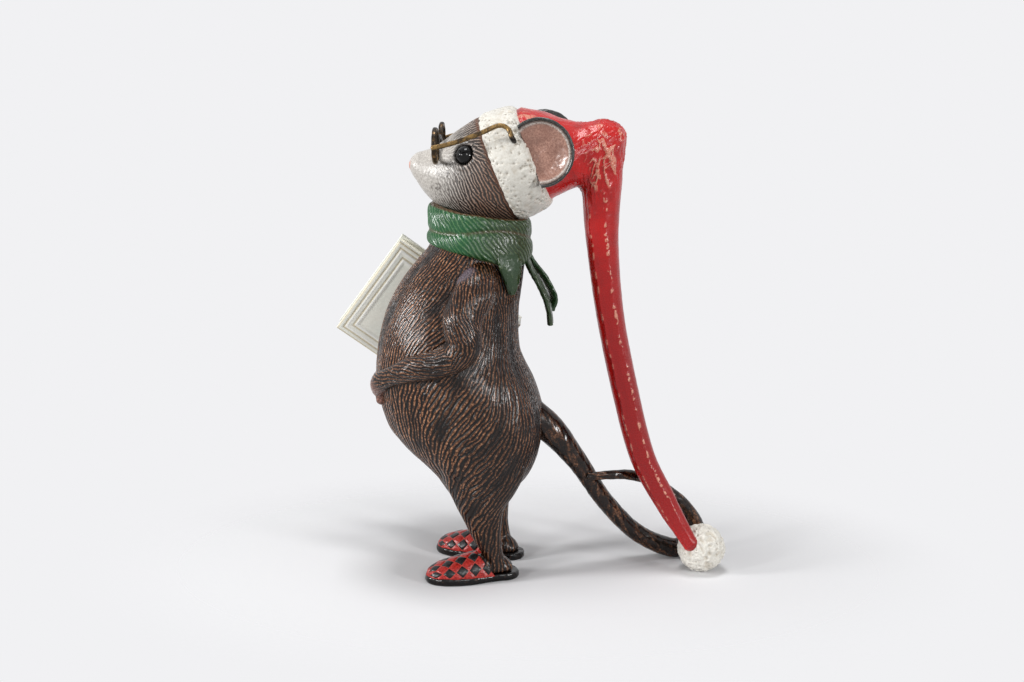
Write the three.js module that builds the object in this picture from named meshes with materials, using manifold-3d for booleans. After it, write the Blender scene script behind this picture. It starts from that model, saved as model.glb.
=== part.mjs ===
// Standing mouse in a long folded cap, scarf, wire spectacles and slippers, with a book under its arm.
// Millimetres, +Z up. The mouse faces -Y, its left side is +X, and it stands on z = 0.
import * as THREE from "three";
import { mergeVertices } from "three/addons/utils/BufferGeometryUtils.js";
import Module from "manifold-3d";

const wasm = await Module();
wasm.setup();

// Joinery
const FIT = 0.3; // gap between pieces that seat on each other
const PIN_RADIUS = 2.6; // spigots of the arms, ears and tail
const PIN_DEPTH = 5; // how far a spigot reaches below the surface that it enters
const PIN_ROOT = 1.5; // how far it runs back into the piece that carries it

// Torso: height, front, back and half width of its sections, from the fork of the legs to the neck
const TORSO = [
  [22, 3, 9, 7],
  [25.5, 8, 11.8, 14.5],
  [34, 14.1, 18.9, 20.6],
  [46, 26.2, 22.4, 23.6],
  [60, 30.7, 19.4, 24.4],
  [72, 30.4, 14.2, 22.8],
  [84, 27.6, 13.6, 20.2],
  [95, 22, 15, 17.2],
  [104, 14.6, 16, 14],
  [110, 11.6, 15.6, 12],
];
const NECK_PIN_RADIUS = 5.5;
const NECK_RISE = 8; // length of the neck stub under the head
const NECK_TAPER = 1.2;

// Leg: height, front, back and half width of its sections, from the hip to the ankle
const LEG_X = 11;
const RIGHT_LEG_BACK = 0.9; // the right leg and foot stand this much behind the left ones
const LEG = [
  [3, -5, 10.6, 3.3],
  [8, -2.7, 9.4, 3.5],
  [13, 0, 8.7, 4.3],
  [18, 2.4, 9.1, 5.4],
  [23, 5, 10, 7.2],
  [28, 7.4, 13.2, 8.6],
  [35, 10.8, 16.6, 9.2],
  [42, 13.6, 17.4, 8.6],
];

// Slippers
const FOOT_X = 12; // middle of each sole
const FOOT_Y = -0.3;
const TOE_OUT = THREE.MathUtils.degToRad(15);
const SOLE_LENGTH = 30;
const SOLE_WIDTH = 14;
const HEEL_WIDTH = 10;
const SOLE_THICKNESS = 2.2;
const SOLE_EDGE = 0.4; // chamfer round the sole
const UPPER_WALL = 1.2;
const UPPER_TOP_Y = 1; // back edge of the upper, at its top and at the sole
const UPPER_FOOT_Y = 6;
// Upper: distance from the toe, half width and height of its sections
const UPPER = [
  [0.7, 1.8, 0.9],
  [2.2, 4.2, 2.6],
  [6.5, 6.2, 4.3],
  [12, 6.6, 5.7],
  [17, 6.3, 6.7],
  [22, 5.8, 7.1],
];
// Foot behind the upper: distance from the heel, half width and height
const HEEL = [
  [8.5, 4, 5.6],
  [4.6, 3.8, 4.4],
  [2.2, 2, 2],
];

// Head: place, underside, top and half width of its sections, from the nose to the back
const HEAD = [
  [-19.4, 128.8, 131, 1.3],
  [-18, 125.4, 132.7, 3.6],
  [-14.6, 120.4, 134.5, 5.9],
  [-10, 116.6, 136.9, 8.6],
  [-4.5, 114.2, 140.8, 11.6],
  [2, 113, 144.6, 14.2],
  [9, 112.6, 145.9, 15],
  [16, 114, 146, 14.2],
  [21, 118, 142, 11.5],
];
const EYE_RADIUS = 3;
const EYE_SINK = 1.5; // depth of the bead's centre below the skin
const EYE_Y = -1.7;
const EYE_ANGLE = THREE.MathUtils.degToRad(23);

// Cap: the cuff is a band on a leaning ring, the cap a loft of sections
const CUFF_Y = 13.1;
const CUFF_RISE = 1.29; // from the middle of the head there to the middle of the ring
const CUFF_LEAN = THREE.MathUtils.degToRad(22);
const CUFF_RADIUS = 17.8; // outer radius at its front edge
const CUFF_DEPTH = 4.8; // from the outer face to the inner one, before the head is cut out of it
const CUFF_WIDTH = 12.2;
const CUFF_TAPER = 1.1; // how much smaller the radius is at the back edge
const CAP_SEAT_RADIUS = 14.4; // flat face of the cap inside the cuff
const CAP_SEAT_DEPTH = 3.6; // length of its straight part
const CAP_PIN_RADIUS = 5;
// Cap behind the cuff: outer edge y and z, inner edge y and z, half width and middle x
const CAP = [
  [14.5, 147.6, 22.9, 118.9, 14.3, 0],
  [21.8, 146.1, 26.6, 121, 12.8, 0],
  [31.5, 143, 31, 123, 10.4, 0],
  [40.5, 143.9, 32.5, 122.8, 8.8, 0],
  [46.4, 140, 33.2, 121.2, 7.8, 0],
  [45.9, 129, 33.6, 117.8, 7, 0],
  [44.8, 108, 34.7, 106.5, 6, 0],
  [46.7, 84, 38.2, 82.5, 5.2, 0],
  [51.4, 60.5, 43.2, 59, 4.6, 0],
  [56.8, 39.3, 49.4, 36.5, 4, 0.4],
  [63.6, 26.6, 58.2, 20.6, 3.4, 1.6],
  [68.2, 18.4, 63.8, 13.2, 2.9, 3.2],
];
// Rounded tip of the cap: share of its last section, and how far on, as a share of its reach
const CAP_TIP = [
  [0.85, 0.55],
  [0.5, 0.9],
];
const POMPOM_RADIUS = 7.5;
const POMPOM = new THREE.Vector3(0.6, 72.6, POMPOM_RADIUS);

// Ears
const EAR_RADIUS = 10.5;
const EAR_THICKNESS = 1.5;
const EAR_DISH = 2.6; // depth of the hollow
const EAR_PIN_LENGTH = 7.5;
const EAR_TURN = THREE.MathUtils.degToRad(10); // forward turn of the dish
const EAR = new THREE.Vector3(15.2, 21.3, 135.4);

// Spectacles
const WIRE_RADIUS = 0.75;
const RIM_RADIUS = 5; // to the middle of the wire
const RIM_Y = -10.9;
const RIM_OUT = 2.6; // from the side of the head to the middle of each lens
const RIM_RISE = 0.3; // from the top of the head to the middle of each lens
const BRIDGE_RISE = 1.6;
// Left temple behind its joint: x, y and z, to the hook on the cuff
const TEMPLE = [
  [17, -4, 138.4],
  [16.9, 3.5, 141.2],
  [15.6, 8.4, 143.2],
  [15.6, 11.2, 142.4],
  [17, 12.6, 139.8],
];
const TEMPLE_BITE = 2.2; // depth of its end in the cuff
const TEMPLE_DROP = 1.2; // fall of its end over that depth

// Scarf
const SCARF_Y = 1.6;
const SCARF_DROP = 0.3; // from the top of the neck to the middle of the wrap
const SCARF_HALF_X = 16.5;
const SCARF_HALF_Y = 16.8;
const SCARF_HEIGHT = 12.6;
const SCARF_THICKNESS = 5;
const SCARF_RISE = 0.16; // forward rise of the wrap, as a slope
const SCARF_FOLD_DEPTH = 0.8; // depth of the crease between its two turns
const SCARF_END_THICKNESS = 1.6;
// Fold on the shoulder: x, y, z and half width
const SCARF_FOLD = [
  [12.6, 11.8, 104.5, 3.4],
  [13.4, 12.4, 100, 3.7],
  [12.8, 13, 95.5, 3.1],
  [11.8, 12.6, 92.2, 1.2],
];
// Hanging ends: x, y, z and half width
const SCARF_LEFT_END = [
  [3.8, 15.6, 103.6, 2.6],
  [4, 17.6, 98.6, 3.2],
  [4.6, 21.4, 91.6, 4],
  [4.8, 23.4, 86, 3.8],
  [4.8, 24, 81, 2.6],
];
const SCARF_RIGHT_END = [
  [-3.6, 15.4, 103.4, 2.6],
  [-4, 18, 98.8, 3.3],
  [-4.6, 21.8, 93.6, 3.9],
  [-5.2, 24.2, 88, 3.8],
  [-5, 23.6, 83.6, 2],
];

// Arms: x, y, z and radius along each one, from inside the shoulder to the palm
const LEFT_ARM = [
  [12, 3, 97, 5.4],
  [19, 1.6, 93.2, 6.3],
  [23.4, -2, 86, 6],
  [25.6, -1.8, 77.6, 5.3],
  [25.4, -8, 73, 4.5],
  [22.3, -17, 70.2, 3.9],
  [17.4, -24.4, 66.8, 3.1],
  [12.4, -28.2, 63.6, 3.3],
  [9.4, -29.1, 61, 2.8],
];
const RIGHT_ARM = [
  [-12, 3, 97, 5.4],
  [-19.4, 3.4, 94.6, 6.1],
  [-28, 3.6, 90.4, 5.4],
  [-35, 2, 83.6, 4.9],
  [-37.2, -2, 76, 4.6],
  [-38, -9.4, 69.6, 4.2],
  [-38.4, -16, 63, 3.6],
  [-38, -21, 57, 3.2],
  [-35.4, -23.4, 52.4, 3.2],
];
const ARM_PIN_Y = 2;
const ARM_PIN_RISE = 0.8; // above the top of the upper arm
const FINGERS = 4;
const FINGER_RADIUS = 1.35;
const FINGER_LENGTH = 7;
const FINGER_PITCH = 2.5;
const KNUCKLE_RADIUS = 1.6;

// Tail: x, y, z and radius, down to the floor and back up to its own root
const TAIL_DOWN = [
  [0, 18, 50.6, 5.4],
  [0, 24.8, 45.2, 4.6],
  [-2, 33, 34.4, 3.3],
  [-5, 41.4, 21.1, 2.9],
  [-9, 51.6, 9.4, 2.9],
  [-12, 62.5, 3.3, 3.2],
  [-12.6, 68, 4.2, 3.1],
];
const TAIL_UP = [
  [-12, 62.5, 3.3, 3.2],
  [-12.6, 68, 4.2, 3.1],
  [-12.6, 71.6, 9, 2.8],
  [-11.8, 69.4, 15, 2.4],
  [-10, 64.4, 21, 2.1],
  [-7.6, 57.2, 26.8, 1.8],
  [-4, 50, 30, 1.7],
  [-0.6, 43.4, 31, 1.5],
  [0.4, 36.4, 30.6, 1.3],
];

// Book
const BOOK_LENGTH = 48.4;
const BOOK_HEIGHT = 37.2;
const BOOK_THICKNESS = 9;
const BOARD = 1.5;
const PAGE_MARGIN = 1.2; // how far the boards stand past the pages
const BOOK_Y = -17.2;
const BOOK_Z = 74.8;
const BOOK_GAP = 0.4; // from the inner board to the widest place of the torso
const BOOK_TILT = THREE.MathUtils.degToRad(36.2);
const BOOK_LEAN = THREE.MathUtils.degToRad(8);
const RULE_WIDTH = 0.9;
const RULE_DEPTH = 0.45;
const RULE_INSETS = [1.5, 3.8]; // from the edge of the board to each ruled line

// Facets round a section
const BODY_SIDES = 24;
const HEAD_SIDES = 22;
const CAP_SIDES = 18;
const LIMB_SIDES = 10;
const LEG_SIDES = 14;
const FOOT_SIDES = 14;
const FINGER_SIDES = 6;
const BEAD_SIDES = 14;
const BEAD_RINGS = 9;
const EAR_SIDES = 22;
const POMPOM_SIDES = 18;
const PIN_SIDES = 12;
const WIRE_SIDES = 6;
const BAND_STEPS = 28; // round the cuff and the scarf

const BEYOND = 90; // size of a cutter that reaches past every piece

const material = (color, roughness, metalness) =>
  new THREE.MeshStandardMaterial({ color, roughness, metalness });
const FUR = material(0x33281f, 0.4, 0.5);
const MUZZLE = material(0x8f857c, 0.5, 0.2);
const EAR_PINK = material(0x9c7a6c, 0.5, 0.1);
const RED_ENAMEL = material(0xb3161a, 0.25, 0.1);
const WHITE_ENAMEL = material(0xe4e0d6, 0.6, 0);
const GREEN_ENAMEL = material(0x1f5a3a, 0.35, 0.2);
const BRASS = material(0x9a7a3c, 0.3, 0.9);
const BLACK_GLASS = material(0x080808, 0.1, 0);
const CHECKED_RED = material(0x8e2a26, 0.3, 0.1);
const BLACK_GLOSS = material(0x151312, 0.25, 0.2);
const CREAM = material(0xdcdacb, 0.5, 0);

const X_AXIS = new THREE.Vector3(1, 0, 0);
const Y_AXIS = new THREE.Vector3(0, 1, 0);
const Z_AXIS = new THREE.Vector3(0, 0, 1);

// Solids

function solidOf(geometry) {
  const bare = new THREE.BufferGeometry();
  bare.setAttribute("position", geometry.getAttribute("position").clone());
  if (geometry.index) bare.setIndex(geometry.index.clone());
  const merged = mergeVertices(bare, 1e-4);
  return new wasm.Manifold(
    new wasm.Mesh({
      numProp: 3,
      vertProperties: merged.getAttribute("position").array,
      triVerts: new Uint32Array(merged.index.array),
    }),
  );
}

function geometryOf(solid) {
  const mesh = solid.getMesh();
  const geometry = new THREE.BufferGeometry();
  geometry.setAttribute("position", new THREE.BufferAttribute(mesh.vertProperties, 3));
  geometry.setIndex(new THREE.BufferAttribute(mesh.triVerts, 1));
  return geometry;
}

// Value of each column at t, from 0 on the first row to 1 on the last, on a smooth curve through the rows.
function blendRows(rows, t) {
  const place = Math.min(Math.max(t, 0), 1) * (rows.length - 1);
  const i = Math.min(Math.floor(place), rows.length - 2);
  const s = place - i;
  const before = rows[Math.max(i - 1, 0)];
  const after = rows[Math.min(i + 2, rows.length - 1)];
  return rows[i].map((a, k) => {
    const b = rows[i + 1][k];
    const startSlope = (b - before[k]) / 2;
    const endSlope = (after[k] - a) / 2;
    const c = 3 * (b - a) - 2 * startSlope - endSlope;
    const d = 2 * (a - b) + startSlope + endSlope;
    return a + s * (startSlope + s * (c + s * d));
  });
}

// The same, found by the value of the first column, which rises from row to row.
function rowAt(rows, value) {
  let low = 0;
  let high = 1;
  for (let i = 0; i < 40; i++) {
    const middle = (low + high) / 2;
    if (blendRows(rows, middle)[0] < value) low = middle;
    else high = middle;
  }
  return blendRows(rows, (low + high) / 2);
}

// Closed skin over rings of points, with a fan on each end. A ring runs anticlockwise about the way ahead.
function skin(rings, closed = false) {
  const sides = rings[0].length;
  const points = rings.flat();
  const faces = [];
  const last = closed ? rings.length : rings.length - 1;
  for (let i = 0; i < last; i++) {
    const near = i * sides;
    const far = ((i + 1) % rings.length) * sides;
    for (let j = 0; j < sides; j++) {
      const k = (j + 1) % sides;
      faces.push(near + j, near + k, far + k, near + j, far + k, far + j);
    }
  }
  if (!closed) {
    for (const [ring, start, turn] of [
      [rings[0], 0, 1],
      [rings.at(-1), (rings.length - 1) * sides, 0],
    ]) {
      const middle = points.length;
      points.push(ring.reduce((sum, p) => sum.add(p), new THREE.Vector3()).divideScalar(sides));
      for (let j = 0; j < sides; j++) {
        const k = (j + 1) % sides;
        faces.push(middle, start + (turn ? k : j), start + (turn ? j : k));
      }
    }
  }
  const geometry = new THREE.BufferGeometry().setFromPoints(points);
  geometry.setIndex(faces);
  return geometry;
}

// One ring: an ellipse, or with a higher power a rounded box, in the plane of across and along.
function ring(centre, across, along, halfAcross, halfAlong, sides, power = 2) {
  const bend = (value) => Math.sign(value) * Math.abs(value) ** (2 / power);
  return Array.from({ length: sides }, (_, j) => {
    const angle = (2 * Math.PI * j) / sides;
    return centre
      .clone()
      .addScaledVector(across, halfAcross * bend(Math.cos(angle)))
      .addScaledVector(along, halfAlong * bend(Math.sin(angle)));
  });
}

// Upright column of level sections: height, front, back and half width.
function column(rows, { x = 0, y = 0, steps, sides, grow = 0 }) {
  const rings = [];
  for (let i = 0; i <= steps; i++) {
    const [z, front, back, half] = blendRows(rows, i / steps);
    const end = i === 0 ? -grow : i === steps ? grow : 0;
    const centre = new THREE.Vector3(x, y + (back - front) / 2, z + end);
    rings.push(ring(centre, X_AXIS, Y_AXIS, half + grow, (front + back) / 2 + grow, sides));
  }
  return solidOf(skin(rings));
}

const DOME_ANGLES = [0.65, 1.3]; // radians up the rounded tip of a limb

// Round limb along rows of x, y, z and radius, with a domed tip.
function limb(rows, { steps, sides, grow = 0, dome = true }) {
  const samples = [];
  for (let i = 0; i <= steps; i++) {
    const [x, y, z, radius] = blendRows(rows, i / steps);
    samples.push({ centre: new THREE.Vector3(x, y, z), radius: radius + grow });
  }
  const way = (i) =>
    samples[Math.min(i + 1, steps)].centre
      .clone()
      .sub(samples[Math.max(i - 1, 0)].centre)
      .normalize();
  const rings = [];
  let across = new THREE.Vector3().crossVectors(way(0), X_AXIS);
  if (across.length() < 0.3) across.crossVectors(way(0), Y_AXIS);
  for (let i = 0; i <= steps; i++) {
    const ahead = way(i);
    across = across.addScaledVector(ahead, -across.dot(ahead)).normalize();
    const along = new THREE.Vector3().crossVectors(ahead, across);
    const { centre, radius } = samples[i];
    rings.push(ring(centre, across, along, radius, radius, sides));
    if (i === steps && dome) {
      for (const angle of DOME_ANGLES) {
        const tip = centre.clone().addScaledVector(ahead, radius * Math.sin(angle));
        const small = radius * Math.cos(angle);
        rings.push(ring(tip, across, along, small, small, sides));
      }
    }
  }
  return solidOf(skin(rings));
}

// Round pin between two points.
function pin(from, to, radius) {
  const length = from.distanceTo(to);
  const geometry = new THREE.CylinderGeometry(radius, radius, length, PIN_SIDES);
  const turn = new THREE.Quaternion().setFromUnitVectors(
    Y_AXIS,
    to.clone().sub(from).normalize(),
  );
  geometry.applyQuaternion(turn);
  const middle = from.clone().add(to).divideScalar(2);
  return solidOf(geometry.translate(middle.x, middle.y, middle.z));
}

function block(width, depth, height, x = 0, y = 0, z = 0) {
  return solidOf(new THREE.BoxGeometry(width, depth, height).translate(x, y, z));
}

// Everything below, or above, a height.
const below = (z) => block(2 * BEYOND, 2 * BEYOND, BEYOND, 0, 0, z - BEYOND / 2);
const above = (z) => block(2 * BEYOND, 2 * BEYOND, BEYOND, 0, 0, z + BEYOND / 2);

function moved(solid, matrix) {
  return solidOf(geometryOf(solid).applyMatrix4(matrix));
}

// Feet and slippers, in a frame of their own: toe towards -Y, sole on z = 0

const FOOT_FLOOR = SOLE_THICKNESS + FIT;

const legBack = (side) => (side < 0 ? RIGHT_LEG_BACK : 0);

function footFrame(side) {
  return new THREE.Matrix4()
    .makeTranslation(side * FOOT_X, FOOT_Y + legBack(side), 0)
    .multiply(new THREE.Matrix4().makeRotationZ(side * TOE_OUT));
}

// Each curve's handles are a share of the sole's length, or of the quarter circle that it rounds.
function soleOutline() {
  const toe = -SOLE_LENGTH / 2;
  const heel = SOLE_LENGTH / 2;
  const ball = SOLE_WIDTH / 2;
  const back = HEEL_WIDTH / 2;
  const ballY = toe + 0.36 * SOLE_LENGTH;
  const heelY = heel - back;
  const toeY = toe + 0.17 * SOLE_LENGTH;
  const bow = 0.22 * SOLE_LENGTH;
  const toeX = 0.72 * ball;
  const round = 0.55 * back;
  const shape = new THREE.Shape().moveTo(0, toe);
  shape.bezierCurveTo(toeX, toe, ball, toeY, ball, ballY);
  shape.bezierCurveTo(ball, ballY + bow, back, heelY - bow, back, heelY);
  shape.bezierCurveTo(back, heelY + round, round, heel, 0, heel);
  shape.bezierCurveTo(-round, heel, -back, heelY + round, -back, heelY);
  shape.bezierCurveTo(-back, heelY - bow, -ball, ballY + bow, -ball, ballY);
  shape.bezierCurveTo(-ball, toeY, -toeX, toe, 0, toe);
  return shape;
}

function slipperSole() {
  const geometry = new THREE.ExtrudeGeometry(soleOutline(), {
    depth: SOLE_THICKNESS - 2 * SOLE_EDGE,
    bevelThickness: SOLE_EDGE,
    bevelSize: SOLE_EDGE,
    bevelOffset: -SOLE_EDGE,
    bevelSegments: 1,
    curveSegments: 5,
  });
  return solidOf(geometry.translate(0, 0, SOLE_EDGE));
}

// Domed form over the toes, drawn in by inset on every side, with the heel of the foot behind it if asked.
function toeDome(inset, heel = []) {
  const toe = -SOLE_LENGTH / 2;
  const rows = UPPER.map(([y, half, rise], i) => [
    toe + y + (i < 2 ? inset : 0),
    Math.max(half - inset, 0.4),
    Math.max(rise - inset, 0.4),
  ]);
  const rings = [];
  const kept = heel.length ? rows.slice(0, -2) : rows;
  const all = [...kept, ...heel.map(([y, half, rise]) => [SOLE_LENGTH / 2 - y, half, rise])];
  const steps = 2 * (all.length - 1);
  for (let i = 0; i <= steps; i++) {
    const [y, half, rise] = blendRows(all, i / steps);
    rings.push(ring(new THREE.Vector3(0, y, FOOT_FLOOR), Z_AXIS, X_AXIS, rise, half, FOOT_SIDES));
  }
  return solidOf(skin(rings)).subtract(below(FOOT_FLOOR));
}

function slipperUpper() {
  const shell = toeDome(0).subtract(toeDome(UPPER_WALL));
  const rise = UPPER.at(-1)[2];
  const slope = Math.atan2(UPPER_FOOT_Y - UPPER_TOP_Y, rise);
  const cutter = new THREE.BoxGeometry(BEYOND, BEYOND, BEYOND).translate(0, BEYOND / 2, 0);
  cutter.rotateX(slope).translate(0, UPPER_FOOT_Y, FOOT_FLOOR);
  return shell.subtract(solidOf(cutter));
}

// Body

const torso = (grow = 0) => column(TORSO, { steps: 17, sides: BODY_SIDES, grow });
const NECK_TOP = TORSO.at(-1)[0];
const NECK_Y = (TORSO.at(-1)[2] - TORSO.at(-1)[1]) / 2;
const ARM_PIN_Z = LEFT_ARM[1][2] + ARM_PIN_RISE;

function leg(side, grow = 0) {
  const place = { x: side * LEG_X, y: legBack(side) };
  return column(LEG, { ...place, steps: 9, sides: LEG_SIDES, grow });
}

function armPin(side, grow) {
  const skinX = rowAt(TORSO, ARM_PIN_Z)[3];
  const inner = new THREE.Vector3(side * (skinX - PIN_DEPTH - grow), ARM_PIN_Y, ARM_PIN_Z);
  const outer = new THREE.Vector3(side * (skinX + PIN_ROOT), ARM_PIN_Y, ARM_PIN_Z);
  return pin(inner, outer, PIN_RADIUS + grow);
}

function tailPin(grow) {
  const [x, y, z] = TAIL_DOWN[1];
  const back = rowAt(TORSO, z)[2];
  const inner = new THREE.Vector3(x, back - PIN_DEPTH - grow, z);
  return pin(inner, new THREE.Vector3(x, Math.max(y, back) + PIN_ROOT, z), PIN_RADIUS + grow);
}

function neckPin(grow) {
  const low = new THREE.Vector3(0, NECK_Y, NECK_TOP - PIN_DEPTH - grow);
  const high = new THREE.Vector3(0, NECK_Y, NECK_TOP + NECK_RISE);
  return pin(low, high, NECK_PIN_RADIUS + grow);
}

function foot(side) {
  const inner = toeDome(UPPER_WALL + FIT, HEEL);
  return moved(inner, footFrame(side));
}

function buildBody() {
  let body = torso();
  for (const side of [1, -1]) {
    body = body.add(leg(side).subtract(below(FOOT_FLOOR))).add(foot(side));
  }
  for (const side of [1, -1]) body = body.subtract(armPin(side, FIT));
  return body.subtract(tailPin(FIT)).subtract(neckPin(FIT));
}

// Head

function headLoft(grow = 0) {
  const steps = 14;
  const rings = [];
  for (let i = 0; i <= steps; i++) {
    const [y, low, high, half] = blendRows(HEAD, i / steps);
    const end = i === 0 ? -grow : i === steps ? grow : 0;
    const centre = new THREE.Vector3(0, y + end, (low + high) / 2);
    rings.push(ring(centre, Z_AXIS, X_AXIS, (high - low) / 2 + grow, half + grow, HEAD_SIDES));
  }
  return solidOf(skin(rings));
}

function headPoint(y, angle) {
  const [, low, high, half] = rowAt(HEAD, y);
  return new THREE.Vector3(
    half * Math.cos(angle),
    y,
    (low + high) / 2 + ((high - low) / 2) * Math.sin(angle),
  );
}

const bead = (radius) => new THREE.SphereGeometry(radius, BEAD_SIDES, BEAD_RINGS);

function eyeCentre(side) {
  const point = headPoint(EYE_Y, EYE_ANGLE);
  point.x = side * (point.x - EYE_SINK);
  return point;
}

// Plane of the cap's seat: everything ahead of it is head, everything behind it cap.
const CUFF_AXIS = new THREE.Vector3(0, Math.cos(CUFF_LEAN), Math.sin(CUFF_LEAN));
const CUFF_UP = new THREE.Vector3(0, -Math.sin(CUFF_LEAN), Math.cos(CUFF_LEAN));
const [, UNDER_CUFF, OVER_CUFF] = rowAt(HEAD, CUFF_Y);
const CUFF_CENTRE = new THREE.Vector3(0, CUFF_Y, (UNDER_CUFF + OVER_CUFF) / 2 + CUFF_RISE);

function behindSeat(offset) {
  const cutter = new THREE.BoxGeometry(BEYOND, BEYOND, BEYOND);
  cutter.translate(0, BEYOND / 2 + offset, 0).rotateX(CUFF_LEAN);
  return solidOf(cutter.translate(...CUFF_CENTRE));
}

function capPin(grow) {
  const front = CUFF_CENTRE.clone().addScaledVector(CUFF_AXIS, -PIN_DEPTH - grow);
  const back = CUFF_CENTRE.clone().addScaledVector(CUFF_AXIS, PIN_DEPTH);
  return pin(front, back, CAP_PIN_RADIUS + grow);
}

// Neck under the head, drawn in by taper at its top.
function neck(bottom, top, grow, taper) {
  const [, front, back, half] = TORSO.at(-1);
  const rows = [
    [bottom, front + grow, back + grow, half + grow],
    [top, front + grow - taper, back + grow - taper, half + grow - taper],
  ];
  return column(rows, { steps: 2, sides: HEAD_SIDES });
}

function buildHead() {
  let head = headLoft().subtract(below(NECK_TOP + FIT));
  head = head.add(neck(NECK_TOP + FIT, NECK_TOP + NECK_RISE, 0, NECK_TAPER));
  head = head.add(neckPin(0)).subtract(behindSeat(-FIT)).subtract(capPin(FIT));
  for (const side of [1, -1]) {
    const socket = bead(EYE_RADIUS + FIT);
    const { x, y, z } = eyeCentre(side);
    head = head.subtract(solidOf(socket.translate(x, y, z)));
  }
  return head;
}

// Cap

function capRings(grow = 0) {
  const rings = [];
  const seat = CAP_SEAT_RADIUS + grow;
  for (const along of [0, CAP_SEAT_DEPTH]) {
    const centre = CUFF_CENTRE.clone().addScaledVector(CUFF_AXIS, along);
    rings.push(ring(centre, X_AXIS, CUFF_UP.clone().negate(), seat, seat, CAP_SIDES));
  }
  const steps = 2 * (CAP.length - 1);
  for (let i = 0; i <= steps; i++) {
    const [outerY, outerZ, innerY, innerZ, half, x] = blendRows(CAP, i / steps);
    const outer = new THREE.Vector3(x, outerY, outerZ);
    const inner = new THREE.Vector3(x, innerY, innerZ);
    const centre = outer.clone().add(inner).divideScalar(2);
    const inward = inner.clone().sub(outer).normalize();
    const reach = outer.distanceTo(inner) / 2 + grow;
    rings.push(ring(centre, X_AXIS, inward, half + grow, reach, CAP_SIDES));
    if (i === steps) {
      const ahead = new THREE.Vector3().crossVectors(X_AXIS, inward);
      for (const [share, along] of CAP_TIP) {
        const tip = centre.clone().addScaledVector(ahead, reach * along);
        rings.push(ring(tip, X_AXIS, inward, (half + grow) * share, reach * share, CAP_SIDES));
      }
    }
  }
  return rings;
}

const capLoft = (grow = 0) => solidOf(skin(capRings(grow)));

function cuffRing(grow = 0) {
  const rings = [];
  const halfWidth = CUFF_WIDTH / 2 + grow;
  const halfDepth = CUFF_DEPTH / 2 + grow;
  for (let i = 0; i < BAND_STEPS; i++) {
    const angle = (2 * Math.PI * i) / BAND_STEPS;
    const out = new THREE.Vector3()
      .addScaledVector(X_AXIS, Math.cos(angle))
      .addScaledVector(CUFF_UP, Math.sin(angle));
    const middle = CUFF_RADIUS - CUFF_TAPER / 2 - CUFF_DEPTH / 2;
    const centre = CUFF_CENTRE.clone().addScaledVector(out, middle);
    const along = CUFF_AXIS.clone()
      .multiplyScalar(CUFF_WIDTH)
      .addScaledVector(out, -CUFF_TAPER)
      .normalize();
    rings.push(ring(centre, along, out, halfWidth, halfDepth, 8, 3));
  }
  return solidOf(skin(rings.reverse(), true));
}

function earFrame(side) {
  return new THREE.Matrix4()
    .makeTranslation(side * EAR.x, EAR.y, EAR.z)
    .multiply(new THREE.Matrix4().makeRotationZ(side * (-EAR_TURN)))
    .multiply(new THREE.Matrix4().makeRotationZ((-side * Math.PI) / 2));
}

// Dish about its own Y axis, hollow towards +Y, with a rolled rim.
function earDish() {
  const lip = EAR_THICKNESS / 3;
  const hollow = EAR_RADIUS - EAR_THICKNESS;
  const turns = 4;
  const profile = [new THREE.Vector2(0, -EAR_THICKNESS)];
  for (let i = 1; i <= turns; i++) {
    const share = i / turns;
    profile.push(new THREE.Vector2(EAR_RADIUS * share, -EAR_THICKNESS + EAR_DISH * share ** 3));
  }
  profile.push(new THREE.Vector2(EAR_RADIUS, EAR_DISH - lip));
  profile.push(new THREE.Vector2(EAR_RADIUS - lip, EAR_DISH));
  for (let i = turns; i >= 0; i--) {
    const share = i / turns;
    profile.push(new THREE.Vector2(hollow * share, (EAR_DISH - lip) * share ** 3));
  }
  return solidOf(new THREE.LatheGeometry(profile, EAR_SIDES));
}

function earPin(side, grow) {
  const outer = new THREE.Vector3(side * EAR.x, EAR.y, EAR.z);
  const inner = new THREE.Vector3(side * (EAR.x - EAR_PIN_LENGTH - grow), EAR.y, EAR.z);
  return pin(inner, outer, PIN_RADIUS + grow);
}

function buildEar(side) {
  const dish = moved(earDish(), earFrame(side));
  return dish
    .subtract(capLoft(FIT))
    .subtract(aheadOfCuffBack(FIT))
    .add(earPin(side, 0));
}

// Everything ahead of the cuff's back face, as a cutter for the ears.
function aheadOfCuffBack(gap) {
  const cutter = new THREE.BoxGeometry(BEYOND, BEYOND, BEYOND);
  cutter.translate(0, (CUFF_WIDTH - BEYOND) / 2 + gap, 0).rotateX(CUFF_LEAN);
  return solidOf(cutter.translate(...CUFF_CENTRE));
}

function buildCap() {
  let cap = capLoft().add(capPin(0));
  for (const side of [1, -1]) cap = cap.subtract(earPin(side, FIT));
  return cap;
}

function buildPompom() {
  const ball = new THREE.SphereGeometry(POMPOM_RADIUS, POMPOM_SIDES, 11);
  ball.rotateX(Math.PI / 2).translate(POMPOM.x, POMPOM.y, POMPOM.z);
  return solidOf(ball).subtract(capLoft(FIT));
}

// Spectacles, astride the head at RIM_Y

const [, , HEAD_TOP, HEAD_HALF] = rowAt(HEAD, RIM_Y);
const RIM_X = HEAD_HALF + RIM_OUT;
const RIM_Z = HEAD_TOP + RIM_RISE;

function templeRows(side, end) {
  const joint = [RIM_X + RIM_RADIUS + 2 * WIRE_RADIUS + FIT, RIM_Y, RIM_Z];
  const hook = TEMPLE.at(-1);
  const bite = [hook[0] - end, hook[1] + TEMPLE_DROP / 2, hook[2] - TEMPLE_DROP];
  return [joint, ...TEMPLE, bite].map(([x, y, z]) => [side * x, y, z]);
}

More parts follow.
